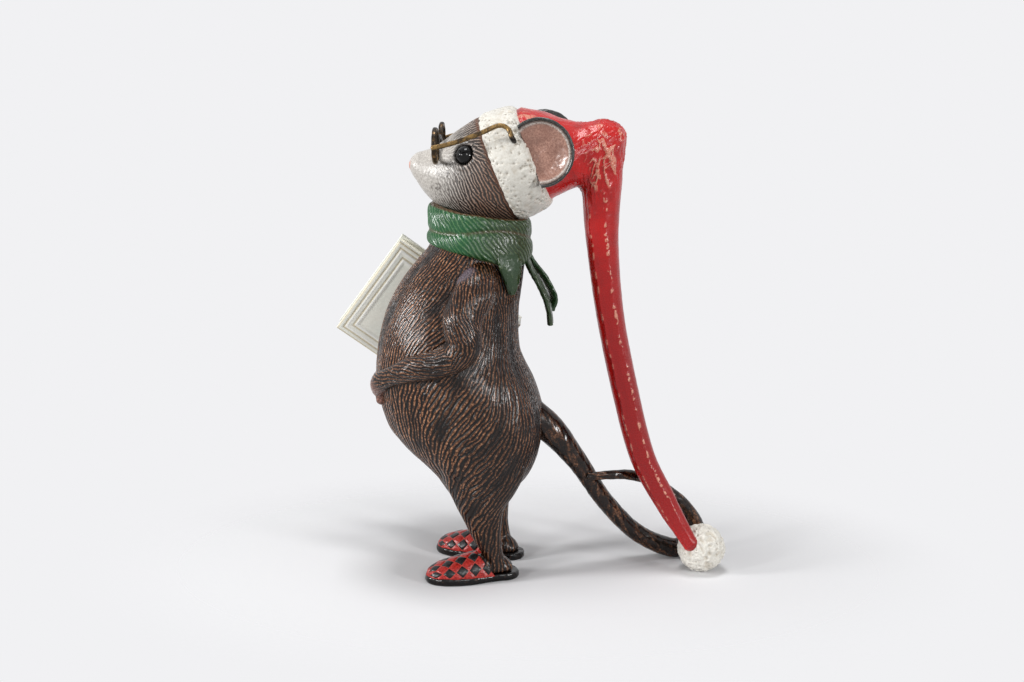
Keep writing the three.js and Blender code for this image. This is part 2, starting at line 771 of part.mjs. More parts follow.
function temple(side, grow = 0, end = TEMPLE_BITE) {
  const rows = templeRows(side, end).map((row) => [...row, WIRE_RADIUS]);
  return limb(rows, { steps: 16, sides: WIRE_SIDES, grow });
}

function rim() {
  return new THREE.TorusGeometry(RIM_RADIUS, WIRE_RADIUS, WIRE_SIDES, 20).rotateX(Math.PI / 2);
}

function bridge() {
  const reach = RIM_X - RIM_RADIUS - 2 * WIRE_RADIUS - FIT;
  const rows = [
    [-reach, 0, 0],
    [-reach / 2, 0, BRIDGE_RISE],
    [reach / 2, 0, BRIDGE_RISE],
    [reach, 0, 0],
  ].map((row) => [...row, WIRE_RADIUS]);
  return limb(rows, { steps: 8, sides: WIRE_SIDES, dome: false });
}

// Scarf

const SCARF_Z = NECK_TOP - SCARF_DROP;

function scarfWrap(grow = 0) {
  const rings = [];
  const sides = 12;
  const reachX = SCARF_HALF_X - SCARF_THICKNESS / 2;
  const reachY = SCARF_HALF_Y - SCARF_THICKNESS / 2;
  const halfHeight = SCARF_HEIGHT / 2 + grow;
  const halfThickness = SCARF_THICKNESS / 2 + grow;
  for (let i = 0; i < BAND_STEPS; i++) {
    const angle = (2 * Math.PI * i) / BAND_STEPS;
    const out = new THREE.Vector3(Math.cos(angle), Math.sin(angle), 0);
    const y = reachY * Math.sin(angle);
    const z = SCARF_Z - SCARF_RISE * y;
    const centre = new THREE.Vector3(reachX * Math.cos(angle), SCARF_Y + y, z);
    const section = ring(centre, Z_AXIS, out, halfHeight, halfThickness, sides, 3);
    section.forEach((point, j) => {
      const crease = Math.max(0, Math.sin((2 * Math.PI * j) / sides)) ** 6;
      point.addScaledVector(out, -SCARF_FOLD_DEPTH * crease);
    });
    rings.push(section);
  }
  return solidOf(skin(rings, true));
}

// Flat strip along rows of x, y, z and half width. Its face turns towards facing.
function strip(rows, facing, thickness) {
  const steps = 3 * (rows.length - 1);
  const rings = [];
  for (let i = 0; i <= steps; i++) {
    const [x, y, z, half] = blendRows(rows, i / steps);
    const [x1, y1, z1] = blendRows(rows, Math.min((i + 1) / steps, 1));
    const [x0, y0, z0] = blendRows(rows, Math.max((i - 1) / steps, 0));
    const ahead = new THREE.Vector3(x1 - x0, y1 - y0, z1 - z0).normalize();
    const across = new THREE.Vector3().crossVectors(facing, ahead).normalize();
    const out = new THREE.Vector3().crossVectors(ahead, across);
    rings.push(
      ring(new THREE.Vector3(x, y, z), across, out, half, thickness / 2, 8, 3.5),
    );
  }
  return solidOf(skin(rings));
}

// Arms

const UNDER_SCARF = SCARF_Z - SCARF_HEIGHT / 2 - SCARF_RISE * SCARF_HALF_Y - FIT; // shoulders end here

// Row of fingers from the knuckles, which run across the palm.
function fingers(palm, across, way) {
  const straight = FINGER_LENGTH - FINGER_RADIUS;
  const stub = (from, to, radius, dome) => {
    const rows = [from, to].map((p) => [p.x, p.y, p.z, radius]);
    return limb(rows, { steps: 1, sides: FINGER_SIDES, dome });
  };
  const knuckle = (i) => palm.clone().addScaledVector(across, i * FINGER_PITCH);
  const outermost = (FINGERS - 1) / 2;
  let hand = stub(knuckle(-outermost), knuckle(outermost), KNUCKLE_RADIUS, false);
  for (let i = -outermost; i <= outermost; i++) {
    const end = knuckle(i).addScaledVector(way, straight);
    hand = hand.add(stub(knuckle(i), end, FINGER_RADIUS, true));
  }
  return hand;
}

function buildLeftArm() {
  const palm = new THREE.Vector3(...LEFT_ARM.at(-1).slice(0, 3));
  const across = new THREE.Vector3(0.1, -0.1, 1).normalize();
  const way = new THREE.Vector3(-1, -0.14, -0.12).normalize();
  return limb(LEFT_ARM, { steps: 16, sides: LIMB_SIDES })
    .add(fingers(palm, across, way))
    .subtract(torso(FIT))
    .subtract(above(UNDER_SCARF))
    .add(armPin(1, 0));
}

function buildRightArm() {
  const palm = new THREE.Vector3(...RIGHT_ARM.at(-1).slice(0, 3));
  const across = new THREE.Vector3(0, Math.cos(BOOK_TILT), -Math.sin(BOOK_TILT));
  const way = new THREE.Vector3(1, -0.1, 0.05).normalize();
  return limb(RIGHT_ARM, { steps: 16, sides: LIMB_SIDES })
    .add(fingers(palm, across, way))
    .subtract(torso(FIT))
    .subtract(moved(bookBlock(FIT), bookFrame()))
    .subtract(above(UNDER_SCARF))
    .add(armPin(-1, 0));
}

// Tail

function tailLoft() {
  const down = limb(TAIL_DOWN, { steps: 11, sides: LIMB_SIDES });
  return down.add(limb(TAIL_UP, { steps: 16, sides: LIMB_SIDES }));
}

// Book, in a frame of its own: boards across X, spine towards +Y

function bookFrame() {
  const frame = new THREE.Matrix4().makeRotationY(BOOK_LEAN);
  frame.multiply(new THREE.Matrix4().makeRotationX(-BOOK_TILT));
  // The inner board comes to lie against the widest place of the torso behind it.
  const reach = Math.hypot(BOOK_LENGTH, BOOK_HEIGHT) / 2;
  let inner = 0;
  for (let z = BOOK_Z - reach; z <= BOOK_Z + reach; z += 0.5) {
    const half = z < NECK_TOP ? rowAt(TORSO, z)[3] : 0;
    const side = -half - BOOK_GAP - (z - BOOK_Z) * Math.tan(BOOK_LEAN);
    inner = Math.min(inner, side);
  }
  const x = inner - BOOK_THICKNESS / 2 / Math.cos(BOOK_LEAN);
  return new THREE.Matrix4().makeTranslation(x, BOOK_Y, BOOK_Z).multiply(frame);
}

function bookBlock(grow = 0) {
  const size = 2 * grow;
  return block(BOOK_THICKNESS + size, BOOK_LENGTH + size, BOOK_HEIGHT + size);
}

function ruledLine(inset, x) {
  const length = BOOK_LENGTH - 2 * inset;
  const height = BOOK_HEIGHT - 2 * inset;
  const frame = block(2 * RULE_DEPTH, length, height, x);
  const inside = block(BOARD, length - 2 * RULE_WIDTH, height - 2 * RULE_WIDTH, x);
  return frame.subtract(inside);
}

function bookCover() {
  const inside = BOOK_THICKNESS - 2 * BOARD;
  const hollow = block(inside, BOOK_LENGTH, BOOK_HEIGHT + BOARD, 0, -BOARD);
  let cover = bookBlock().subtract(hollow);
  for (const side of [1, -1]) {
    for (const inset of RULE_INSETS) {
      cover = cover.subtract(ruledLine(inset, (side * BOOK_THICKNESS) / 2));
    }
  }
  return cover;
}

function bookPages() {
  const thickness = BOOK_THICKNESS - 2 * BOARD - 2 * FIT;
  const length = BOOK_LENGTH - BOARD - FIT - PAGE_MARGIN;
  const height = BOOK_HEIGHT - 2 * PAGE_MARGIN;
  const back = BOOK_LENGTH / 2 - BOARD - FIT;
  return block(thickness, length, height, 0, back - length / 2);
}

// Assembly

const figure = new THREE.Group();

function addPiece(name, solid, finish, parent = figure) {
  const geometry = solid instanceof THREE.BufferGeometry ? solid : geometryOf(solid);
  const mesh = new THREE.Mesh(geometry, finish);
  mesh.name = name;
  parent.add(mesh);
  return mesh;
}

function addGroup(matrix) {
  const group = new THREE.Group();
  group.applyMatrix4(matrix);
  figure.add(group);
  return group;
}

addPiece("body", buildBody(), FUR);
addPiece("head", buildHead(), MUZZLE);
addPiece("left_arm", buildLeftArm(), FUR);
addPiece("right_arm", buildRightArm(), FUR);
addPiece("tail", tailLoft().subtract(torso(FIT)).add(tailPin(0)), FUR);

const neckSpace = neck(NECK_TOP - FIT, NECK_TOP + NECK_RISE + FIT, FIT, 0);
const headSpace = headLoft(FIT).add(neckSpace);
addPiece("hat_crown", buildCap(), RED_ENAMEL);
let cuff = cuffRing().subtract(headSpace).subtract(capLoft(FIT));
for (const side of [1, -1]) cuff = cuff.subtract(temple(side, FIT, TEMPLE_BITE + FIT));
addPiece("hat_cuff", cuff, WHITE_ENAMEL);
addPiece("hat_pompom", buildPompom(), WHITE_ENAMEL);

const scarf = scarfWrap().subtract(torso(FIT)).subtract(headSpace).subtract(cuffRing(FIT));
addPiece("scarf_wrap", scarf, GREEN_ENAMEL);
const scarfSpace = scarfWrap(FIT).add(torso(FIT));
for (const [name, rows, facing] of [
  ["scarf_fold", SCARF_FOLD, new THREE.Vector3(0.8, 0.6, 0.2)],
  ["scarf_end_left", SCARF_LEFT_END, new THREE.Vector3(0, 0.9, 0.4)],
  ["scarf_end_right", SCARF_RIGHT_END, new THREE.Vector3(-0.3, 0.9, 0.4)],
]) {
  addPiece(name, strip(rows, facing, SCARF_END_THICKNESS).subtract(scarfSpace), GREEN_ENAMEL);
}

for (const [side, name] of [
  [1, "left"],
  [-1, "right"],
]) {
  addPiece(name + "_eye", bead(EYE_RADIUS), BLACK_GLASS).position.copy(eyeCentre(side));
  addPiece(name + "_ear", buildEar(side), EAR_PINK);
  addPiece(name + "_temple", temple(side), BRASS);
  addPiece(name + "_rim", rim(), BRASS).position.set(side * RIM_X, RIM_Y, RIM_Z);
  const slipper = addGroup(footFrame(side));
  const back = footFrame(side).invert();
  addPiece(name + "_slipper_sole", slipperSole(), BLACK_GLOSS, slipper);
  const upper = slipperUpper().subtract(moved(leg(side, FIT), back));
  addPiece(name + "_slipper_upper", upper, CHECKED_RED, slipper);
}
addPiece("bridge", bridge(), BRASS).position.set(0, RIM_Y, RIM_Z);

const book = addGroup(bookFrame());
addPiece("book_cover", bookCover(), CREAM, book);
addPiece("book_pages", bookPages(), CREAM, book);

// The origin goes to the middle of the footprint, on the floor.
figure.updateMatrixWorld(true);
const box = new THREE.Box3().setFromObject(figure, true);
const middle = box.getCenter(new THREE.Vector3());
figure.position.set(-middle.x, -middle.y, -box.min.z);

export default figure;
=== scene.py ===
import itertools
import math

import bmesh
import bpy
import numpy as np
from mathutils import Matrix, Vector


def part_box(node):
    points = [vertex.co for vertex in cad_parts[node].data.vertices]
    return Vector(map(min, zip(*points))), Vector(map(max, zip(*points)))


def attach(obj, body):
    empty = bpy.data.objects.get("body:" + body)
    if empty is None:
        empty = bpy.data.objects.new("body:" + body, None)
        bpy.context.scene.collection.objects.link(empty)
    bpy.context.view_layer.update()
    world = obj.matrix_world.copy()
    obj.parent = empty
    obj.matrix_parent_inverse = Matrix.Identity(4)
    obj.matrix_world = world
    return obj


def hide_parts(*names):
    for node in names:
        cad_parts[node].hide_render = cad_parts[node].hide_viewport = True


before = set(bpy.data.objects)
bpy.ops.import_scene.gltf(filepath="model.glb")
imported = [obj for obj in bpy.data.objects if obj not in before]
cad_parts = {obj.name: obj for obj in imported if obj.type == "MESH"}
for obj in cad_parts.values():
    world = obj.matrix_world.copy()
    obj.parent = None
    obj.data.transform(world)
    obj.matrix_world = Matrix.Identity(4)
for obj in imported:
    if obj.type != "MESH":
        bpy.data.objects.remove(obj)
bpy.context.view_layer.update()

MM = 0.001
SIDES = (("left", 1), ("right", -1))
X_AXIS, Y_AXIS, Z_AXIS = np.eye(3)

# Sizes of the figure, in millimetres, in a frame with the mouse's middle on x = 0

# Height, front, back and half width
TORSO = [
    [22, 3, 9, 7], [25.5, 8, 11.8, 14.5], [34, 14.1, 18.9, 20.6], [46, 26.2, 22.4, 23.6],
    [60, 30.7, 19.4, 24.4], [72, 30.4, 14.2, 22.8], [84, 27.6, 13.6, 20.2], [95, 22, 15, 17.2],
    [104, 14.6, 16, 14], [110, 11.6, 15.6, 12],
]
LEG = [
    [3, -5, 10.6, 3.3], [8, -2.7, 9.4, 3.5], [13, 0, 8.7, 4.3], [18, 2.4, 9.1, 5.4],
    [23, 5, 10, 7.2], [28, 7.4, 13.2, 8.6], [35, 10.8, 16.6, 9.2], [42, 13.6, 17.4, 8.6],
]
LEG_X = 11
RIGHT_LEG_BACK = 0.9
FOOT_X = 12
FOOT_Y = -0.3
TOE_OUT = math.radians(15)
FOOT_FLOOR = 2.5
SOLE_LENGTH = 30
SOLE_WIDTH = 14
HEEL_WIDTH = 10
SOLE_THICKNESS = 2.2
# Distance from the toe, half width and height
UPPER = [
    [0.25, 0.1, 0.05], [0.7, 1.8, 0.9], [2.2, 4.2, 2.6], [6.5, 6.2, 4.3], [12, 6.6, 5.7],
    [17, 6.3, 6.7], [22, 5.8, 7.1],
]
UPPER_WALL = 1.2
UPPER_TOP_Y = 1
UPPER_FOOT_Y = 6
FOOT_INSIDE = 1.5  # the foot's skin under the upper's
CHECK_PITCH = 4.15
CHECK_PITCH_OVER = 4.7
INSTEP_RADIUS = 6.2
# Distance from the heel, half width and height
HEEL = [[8.5, 4, 5.6], [4.6, 3.8, 4.4], [2.2, 2, 2]]
# Place along the head, underside, top and half width
HEAD = [
    [-19.9, 128.6, 130.9, 1.2], [-19.4, 127.6, 132.0, 2.4], [-18.6, 126.1, 132.9, 3.4],
    [-17.4, 124.3, 133.7, 4.3], [-15.6, 121.7, 134.2, 5.3], [-13.2, 119.1, 135.0, 6.7],
    [-10, 116.6, 136.9, 8.6], [-4.5, 114.2, 140.8, 11.6], [2, 113, 144.6, 14.2],
    [9, 112.6, 145.9, 15], [16, 114, 146, 14.2], [21, 118, 142, 11.5],
]
EYE_RADIUS = 3
EYE = (10.36, -1.7, 133.77)
CHEEK = (9.5, -3.5, 121.5)
NOSTRIL = (1.3, -20.0, 130.4)
NOSE_TIP = (0, -20.3, 129.9)
CUFF_CENTRE = np.array([0, 13.1, 131])
CUFF_LEAN = math.radians(22)
CUFF_AXIS = np.array([0, math.cos(CUFF_LEAN), math.sin(CUFF_LEAN)])
CUFF_UP = np.array([0, -math.sin(CUFF_LEAN), math.cos(CUFF_LEAN)])
CUFF_RADIUS = 17.8
CUFF_DEPTH = 4.8
CUFF_WIDTH = 12.2
CUFF_TAPER = 1.1
# Outer edge y and z, inner edge y and z, half width and middle x
CAP = [
    [14.5, 147.6, 22.9, 118.9, 14.3, 0], [21.8, 146.1, 26.6, 121, 12.8, 0],
    [31.5, 143, 31, 123, 10.4, 0], [40.5, 143.9, 32.5, 122.8, 8.8, 0],
    [46.4, 140, 33.2, 121.2, 7.8, 0], [45.9, 129, 33.6, 117.8, 7, 0],
    [44.8, 108, 34.7, 106.5, 6, 0], [46.7, 84, 38.2, 82.5, 5.2, 0],
    [51.4, 60.5, 43.2, 59, 4.6, 0], [56.8, 39.3, 49.4, 36.5, 4, 0.4],
    [63.2, 26.2, 58.2, 20.6, 3.3, 1.6], [67.2, 18.2, 63.4, 13.4, 2.8, 3.4],
    [70.4, 12.6, 67.0, 8.8, 2.2, 6.0],
]
CAP_SEAT_RADIUS = 14.4
CAP_SEAT_RINGS = (0, 1.2, 2.4, 3.6)  # along the cuff's axis
# Rounded tip of the cap: share of its last section, and how far on, as a share of its reach
CAP_TIP = [(0.97, 0.2), (0.9, 0.42), (0.78, 0.62), (0.6, 0.8), (0.35, 0.93), (0.12, 0.99)]
POMPOM_RADIUS = 7.5
POMPOM = np.array([0.6, 72.6, 7.5])
EAR = (15.2, 21.3, 135.4)
EAR_RADIUS = 10.5
EAR_THICKNESS = 1.5
EAR_DISH = 2.6
EAR_TURN = math.radians(10)
EAR_BACK_ROWS = 49  # rows of its profile that are painted as its back
WIRE_RADIUS = 0.75
RIM = (10.69, -10.9, 136.67)
RIM_RADIUS = 5
BRIDGE_RISE = 1.6
TEMPLE = [
    [17.4, -10.9, 136.67], [17, -4, 138.4], [16.9, 3.5, 141.2], [15.6, 8.4, 143.2],
    [15.6, 11.2, 142.4], [17, 12.6, 139.8], [15.3, 13.2, 138.6],
]
SCARF_Y = 1.6
SCARF_Z = 109.7
SCARF_HALF_X = 16.5
SCARF_HALF_Y = 16.8
SCARF_HEIGHT = 12.6
SCARF_THICKNESS = 5
SCARF_RISE = 0.16
SCARF_END_THICKNESS = 1.6
# x, y, z and half width, or radius
TONGUE = [
    [10.6, 9.6, 108, 3.2], [12.6, 11.4, 104, 4.2], [13.4, 12.2, 100, 3.9],
    [12.8, 12.6, 95.5, 2.6], [11.8, 12.2, 91.8, 1.1],
]
SCARF_LEFT_END = [
    [3.8, 15.6, 103.6, 2.6], [4, 17.6, 98.6, 3.2], [4.6, 21.4, 91.6, 4], [4.8, 23.4, 86, 3.8],
    [4.8, 24, 81, 2.6],
]
SCARF_RIGHT_END = [
    [-3.6, 15.4, 103.4, 2.6], [-4, 18, 98.8, 3.3], [-4.6, 21.8, 93.6, 3.9],
    [-5.2, 24.2, 88, 3.8], [-5, 23.6, 83.6, 2],
]
LEFT_ARM = [
    [12, 3, 97, 5.4], [19, 1.6, 93.2, 6.3], [23.4, -2, 86, 6], [25.6, -1.8, 77.6, 5.3],
    [25.4, -8, 73, 4.5], [22.3, -17, 70.2, 3.9], [17.4, -24.4, 66.8, 3.1],
    [12.4, -28.2, 63.6, 3.3], [9.4, -29.1, 61, 2.8],
]
RIGHT_ARM = [
    [-12, 3, 97, 5.4], [-19.4, 3.4, 94.6, 6.1], [-28, 3.6, 90.4, 5.4], [-35, 2, 83.6, 4.9],
    [-37.2, -2, 76, 4.6], [-38, -9.4, 69.6, 4.2], [-38.4, -16, 63, 3.6], [-38, -21, 57, 3.2],
    [-35.4, -23.4, 52.4, 3.2],
]
SHOULDER = (19, -1.5, 98.5)
ARM_PLACES = 60
ELBOW = 27  # of the places along the arm; the strokes slant the other way below it
FINGERS = 4
FINGER_RADIUS = 1.35
FINGER_LENGTH = 7
FINGER_PITCH = 2.5
TAIL = [
    [0, 18, 50.6, 5.4], [0, 24.8, 45.2, 4.6], [-2, 33, 34.4, 3.3], [-5, 41.4, 21.1, 2.9],
    [-9, 51.6, 9.4, 2.9], [-12, 62.5, 3.3, 3.2], [-12.6, 68, 4.2, 3.1], [-12.6, 71.6, 9, 2.8],
    [-11.8, 69.4, 15, 2.4], [-10, 64.4, 21, 2.1], [-7.6, 57.2, 26.8, 1.8], [-4, 50, 30, 1.7],
    [-0.6, 43.4, 31, 1.5], [0.4, 36.4, 30.6, 1.3],
]
BOOK_LENGTH = 48.4
BOOK_HEIGHT = 37.2
BOOK_THICKNESS = 9
BOARD = 1.5
PAGE_MARGIN = 1.2
PAGE_GAP = 0.3
LEAVES = 26
BOOK = (-27.44, -17.2, 74.8)
BOOK_TILT = math.radians(36.2)
BOOK_LEAN = math.radians(8)

# Flow of the fur, seen from the side: y, z and the way it runs
FUR_FLOW = [
    (-20.1, 96.2, -0.60, -0.80), (-23.8, 88.5, -0.35, -0.94), (-26.1, 78.2, -0.10, -1.00),
    (-17.5, 84.5, -0.65, -0.76), (-13.8, 88.6, -0.76, -0.65), (-12.3, 80.5, -0.80, -0.60),
    (-9.2, 93.9, -0.45, -0.89), (-4.5, 102.5, -0.51, -0.86), (-12.1, 102.4, -0.60, -0.80),
    (6.6, 99.2, 0.60, -0.80), (9.9, 94.0, 0.20, -0.98), (7.5, 87.9, -0.15, -0.99),
    (10.5, 81.7, -0.10, -1.00), (6.6, 78.6, -0.35, -0.94), (11.4, 73.3, -0.20, -0.98),
    (3.5, 72.3, -0.60, -0.80), (-0.8, 65.4, -0.60, -0.80), (-14.1, 62.7, -0.41, -0.91),
    (-7.9, 65.9, -0.60, -0.80), (-23.4, 59.4, -0.05, -1.00), (-24.3, 55.3, 0.10, -1.00),
    (-19.5, 47.4, 0.12, -0.99), (-15.8, 43.6, 0.10, -1.00), (-11.8, 44.6, -0.15, -0.99),
    (-8.9, 52.6, -0.60, -0.80), (-4.0, 50.1, -0.60, -0.80), (1.3, 52.7, -0.76, -0.65),
    (3.7, 47.7, -0.71, -0.71), (9.0, 61.4, -0.51, -0.86), (14.2, 61.5, 0.10, -1.00),
    (17.6, 57.4, 0.35, -0.94), (16.6, 50.4, -0.20, -0.98), (12.0, 45.6, -0.60, -0.80),
    (6.5, 36.8, -0.71, -0.71), (1.2, 31.6, -0.65, -0.76), (-6.6, 34.1, -0.35, -0.94),
    (-9.7, 37.2, -0.10, -1.00), (-1.0, 26.1, -0.71, -0.71), (2.1, 23.5, -0.76, -0.65),
    (6.4, 28.8, -0.60, -0.80), (13.6, 34.4, -0.60, -0.80), (6.4, 18.0, -0.20, -0.98),
    (2.6, 14.7, 0.10, -1.00), (8.9, 8.3, -0.10, -1.00), (21.2, 60.0, 0.30, -0.95),
    (15.1, 69.3, 0.10, -1.00),
]
HEAD_FLOW = [
    (-18, 128, 0.3, -0.95), (-12, 122, 0.3, -0.95), (-12, 134, 0.8, 0.5), (-6, 137, 0.8, 0.5),
    (-2, 142, 0.9, 0.45), (3, 141, 0.97, 0.25), (3, 137, 0.9, -0.35), (5, 133, 0.75, -0.65),
    (-7, 130, 0.4, -0.9), (-6, 126, 0.4, -0.9), (0, 129, 0.45, -0.9), (-1, 125, 0.38, -0.92),
    (4, 127, 0.5, -0.86), (8, 126, 0.5, -0.86), (1, 119, 0.3, -0.95), (-5, 119, 0.35, -0.93),
    (8, 119, 0.4, -0.92), (12, 113, 0.35, -0.93),
]

rim_left, rim_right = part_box("left_rim"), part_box("right_rim")
SHIFT = np.array([
    (rim_left[1][0] + rim_right[0][0]) / 2 / MM,
    (rim_left[0][1] + rim_left[1][1]) / 2 / MM - RIM[1],
    0,
])


# Curves and grids

def detail(quick, full):
    return full


def mirrored(place, side):
    return np.array([side * place[0], place[1], place[2]])


def distance(points, place):
    return np.linalg.norm(points - place, axis=1)


def spline(rows, count):
    """Rows blended on a smooth curve, at even steps from the first row to the last."""
    rows = np.asarray(rows, float)
    place = np.linspace(0, 1, count) * (len(rows) - 1)
    i = np.minimum(place.astype(int), len(rows) - 2)
    s = (place - i)[:, None]
    a, b = rows[i], rows[i + 1]
    start = (b - rows[np.maximum(i - 1, 0)]) / 2
    end = (rows[np.minimum(i + 2, len(rows) - 1)] - a) / 2
    c = 3 * (b - a) - 2 * start - end
    d = 2 * (a - b) + start + end
    return a + s * (start + s * (c + s * d))


def unit(v):
    return v / np.maximum(np.linalg.norm(v, axis=-1, keepdims=True), 1e-9)


def smooth(low, high, x):
    s = np.clip((x - low) / (high - low), 0, 1)
    return s * s * (3 - 2 * s)


def bump(x, middle, width):
    return np.exp(-(((x - middle) / width) ** 2))


def bend(value, power):
    return np.sign(value) * np.abs(value) ** (2 / power)


def around(sides):
    return np.linspace(0, 2 * np.pi, sides, endpoint=False)


def grid_of(x, y, z):
    """Coordinates as one array of points, each spread over the shape of all three."""
    return np.stack(np.broadcast_arrays(x, y, z), axis=-1)


def ring_angles(rings, sides):
    return around(rings)[:, None, None], around(sides)[None, :, None]


def grid_faces(rings, sides, wrap=True):
    """Quads between rings of points, in the order ring by ring."""
    a = np.arange(rings - 1)[:, None] * sides
    j = np.arange(sides if wrap else sides - 1)[None, :]
    k = (j + 1) % sides
    return np.stack([a + j, a + k, a + sides + k, a + sides + j], axis=-1).reshape(-1, 4).tolist()


def fan(middle, first, sides, turn):
    j = np.arange(sides)
    k = (j + 1) % sides
    near, far = (k, j) if turn else (j, k)
    return np.stack([np.full(sides, middle), first + near, first + far], axis=1).tolist()


def closed_loft(grid):
    """Points and faces of a loft of rings with a fan on each end; grid is rings by sides by 3."""
    rings, sides = grid.shape[:2]
    points = np.concatenate([grid.reshape(-1, 3), grid[:1].mean(1), grid[-1:].mean(1)])
    faces = grid_faces(rings, sides)
    faces += fan(rings * sides, 0, sides, True)
    faces += fan(rings * sides + 1, (rings - 1) * sides, sides, False)
    return points, faces


def closed_ring(grid):
    """Points and faces of rings of points that run on round to the first ring."""
    rings, sides = grid.shape[:2]
    faces = np.array(grid_faces(rings + 1, sides)) % (rings * sides)
    return grid.reshape(-1, 3), faces.tolist()


def on_rings(values, sides):
    """The value of each ring of a closed loft, for each of its points."""
    return np.concatenate([np.repeat(values, sides, axis=0), values[:1], values[-1:]])


def column(rows, levels, sides, x=0.0, y=0.0):
    """Upright column of level sections: height, front, back and half width."""
    z, front, back, half = spline(rows, levels).T[:, :, None]
    angle = around(sides)[None, :]
    return closed_loft(grid_of(
        x + half * np.cos(angle),
        y + (back - front) / 2 + (front + back) / 2 * np.sin(angle), z))


def frames(path):
    """Ways ahead, across and along for each point of a path, with no twist."""
    ahead = unit(np.gradient(path, axis=0))
    across = np.zeros_like(path)
    first = np.cross(ahead[0], X_AXIS)
    if np.linalg.norm(first) < 0.3:
        first = np.cross(ahead[0], Y_AXIS)
    for i, way in enumerate(ahead):
        first = first - way * first.dot(way)
        first = first / np.linalg.norm(first)
        across[i] = first
    return ahead, across, np.cross(ahead, across)


def tube(rows, levels, sides, domes=7):
    """Round limb along rows of x, y, z and radius, with domed ends: rings by sides by 3."""
    sample = spline(rows, levels)
    path, radius = sample[:, :3], sample[:, 3]
    ahead, across, along = frames(path)
    rise = np.linspace(0, np.pi / 2, domes + 1)[1:-1]
    back = rise[::-1]
    centre = np.concatenate([
        path[0] - ahead[0] * (radius[0] * np.sin(back))[:, None], path,
        path[-1] + ahead[-1] * (radius[-1] * np.sin(rise))[:, None]])
    radius = np.concatenate([radius[0] * np.cos(back), radius, radius[-1] * np.cos(rise)])
    way = np.clip(np.arange(len(centre)) - len(rise), 0, levels - 1)
    angle = around(sides)[None, :, None]
    turned = across[way][:, None] * np.cos(angle) + along[way][:, None] * np.sin(angle)
    return centre[:, None] + radius[:, None, None] * turned


def joined(parts):
    points, faces, total = [], [], 0
    for part_points, part_faces in parts:
        points.append(part_points)
        faces += [[v + total for v in face] for face in part_faces]
        total += len(part_points)
    return np.concatenate(points), faces


# Seeded noise and strokes

class Noise:
    """Smooth random values in space, from -1 to 1 or so."""

    SIZE = 48
    TURN = np.array(Matrix.Rotation(0.8, 3, Vector((1, 2, 3))))

    def __init__(self, seed):
        rng = np.random.default_rng(seed)
        self.values = rng.uniform(-1, 1, (self.SIZE,) * 3).astype(np.float32)

    def __call__(self, points, cell):
        p = points @ self.TURN / cell
        base = np.floor(p).astype(int)
        s = (p - base).astype(np.float32)
        s = s * s * (3 - 2 * s)
        total = 0
        for corner in itertools.product((0, 1), repeat=3):
            x, y, z = (s[..., n] if d else 1 - s[..., n] for n, d in enumerate(corner))
            i, j, k = ((base[..., n] + d) % self.SIZE for n, d in enumerate(corner))
            total = total + x * y * z * self.values[i, j, k]
        return total


def streaks(points, normals, heading, noise, cell, reach, steps=9):
    """Noise drawn out along a field of directions on a surface, with a spread of 1."""
    total = noise(points, cell).astype(float)
    for sense in (1, -1):
        p = points.copy()
        for _ in range(steps):
            way = heading(p)
            way = unit(way - normals * np.sum(way * normals, axis=1, keepdims=True))
            p = p + sense * way * (reach / steps)
            total += noise(p, cell)
    return (total - total.mean()) / total.std()


def crests(points, normals, heading, seed, cell, reach, width=0.42):
    """Thin lines along a flow, 1 on the line and 0 between the lines."""
    return np.exp(-((streaks(points, normals, heading, Noise(seed), cell, reach) / width) ** 2))


def flow_field(rows, spread):
    """Heading from rows of y, z and way, blended, and read from a grid of 2 mm."""
    rows = np.asarray(rows, float)
    step = 2.0
    low = np.array([-45.0, -5.0])
    size = np.array([60, 85])
    y, z = np.meshgrid(*(low[n] + step * np.arange(size[n]) for n in range(2)), indexing="ij")
    gap = (y[..., None] - rows[:, 0]) ** 2 + (z[..., None] - rows[:, 1]) ** 2
    weight = np.exp(-gap / (2 * spread ** 2)) + 1e-6
    field = unit((weight[..., None] * rows[:, 2:]).sum(2) / weight.sum(2)[..., None])

    def heading(points):
        place = np.clip((points[:, 1:] - low) / step, 0, size - 1.001)
        base = place.astype(int)
        s = place - base
        i, j = base.T
        a, b = s[:, :1], s[:, 1:]
        way = ((1 - a) * (1 - b) * field[i, j] + a * (1 - b) * field[i + 1, j]
               + (1 - a) * b * field[i, j + 1] + a * b * field[i + 1, j + 1])
        return np.concatenate([np.zeros((len(points), 1)), way], axis=1)

    return heading


class Cells:
    """Places sorted into cubes, so that those near a cube are found at once."""

    def __init__(self, places, size):
        keys = np.floor(places / size).astype(int)
        order = np.lexsort(keys.T)
        cuts = np.flatnonzero(np.any(np.diff(keys[order], axis=0), axis=1)) + 1
        groups = np.split(order, cuts)
        self.groups = {tuple(keys[group[0]].tolist()): group for group in groups}

    def near(self, key):
        around_it = itertools.product(*((k - 1, k, k + 1) for k in key))
        found = [self.groups[other] for other in around_it if other in self.groups]
        return np.concatenate(found) if found else np.zeros(0, int)


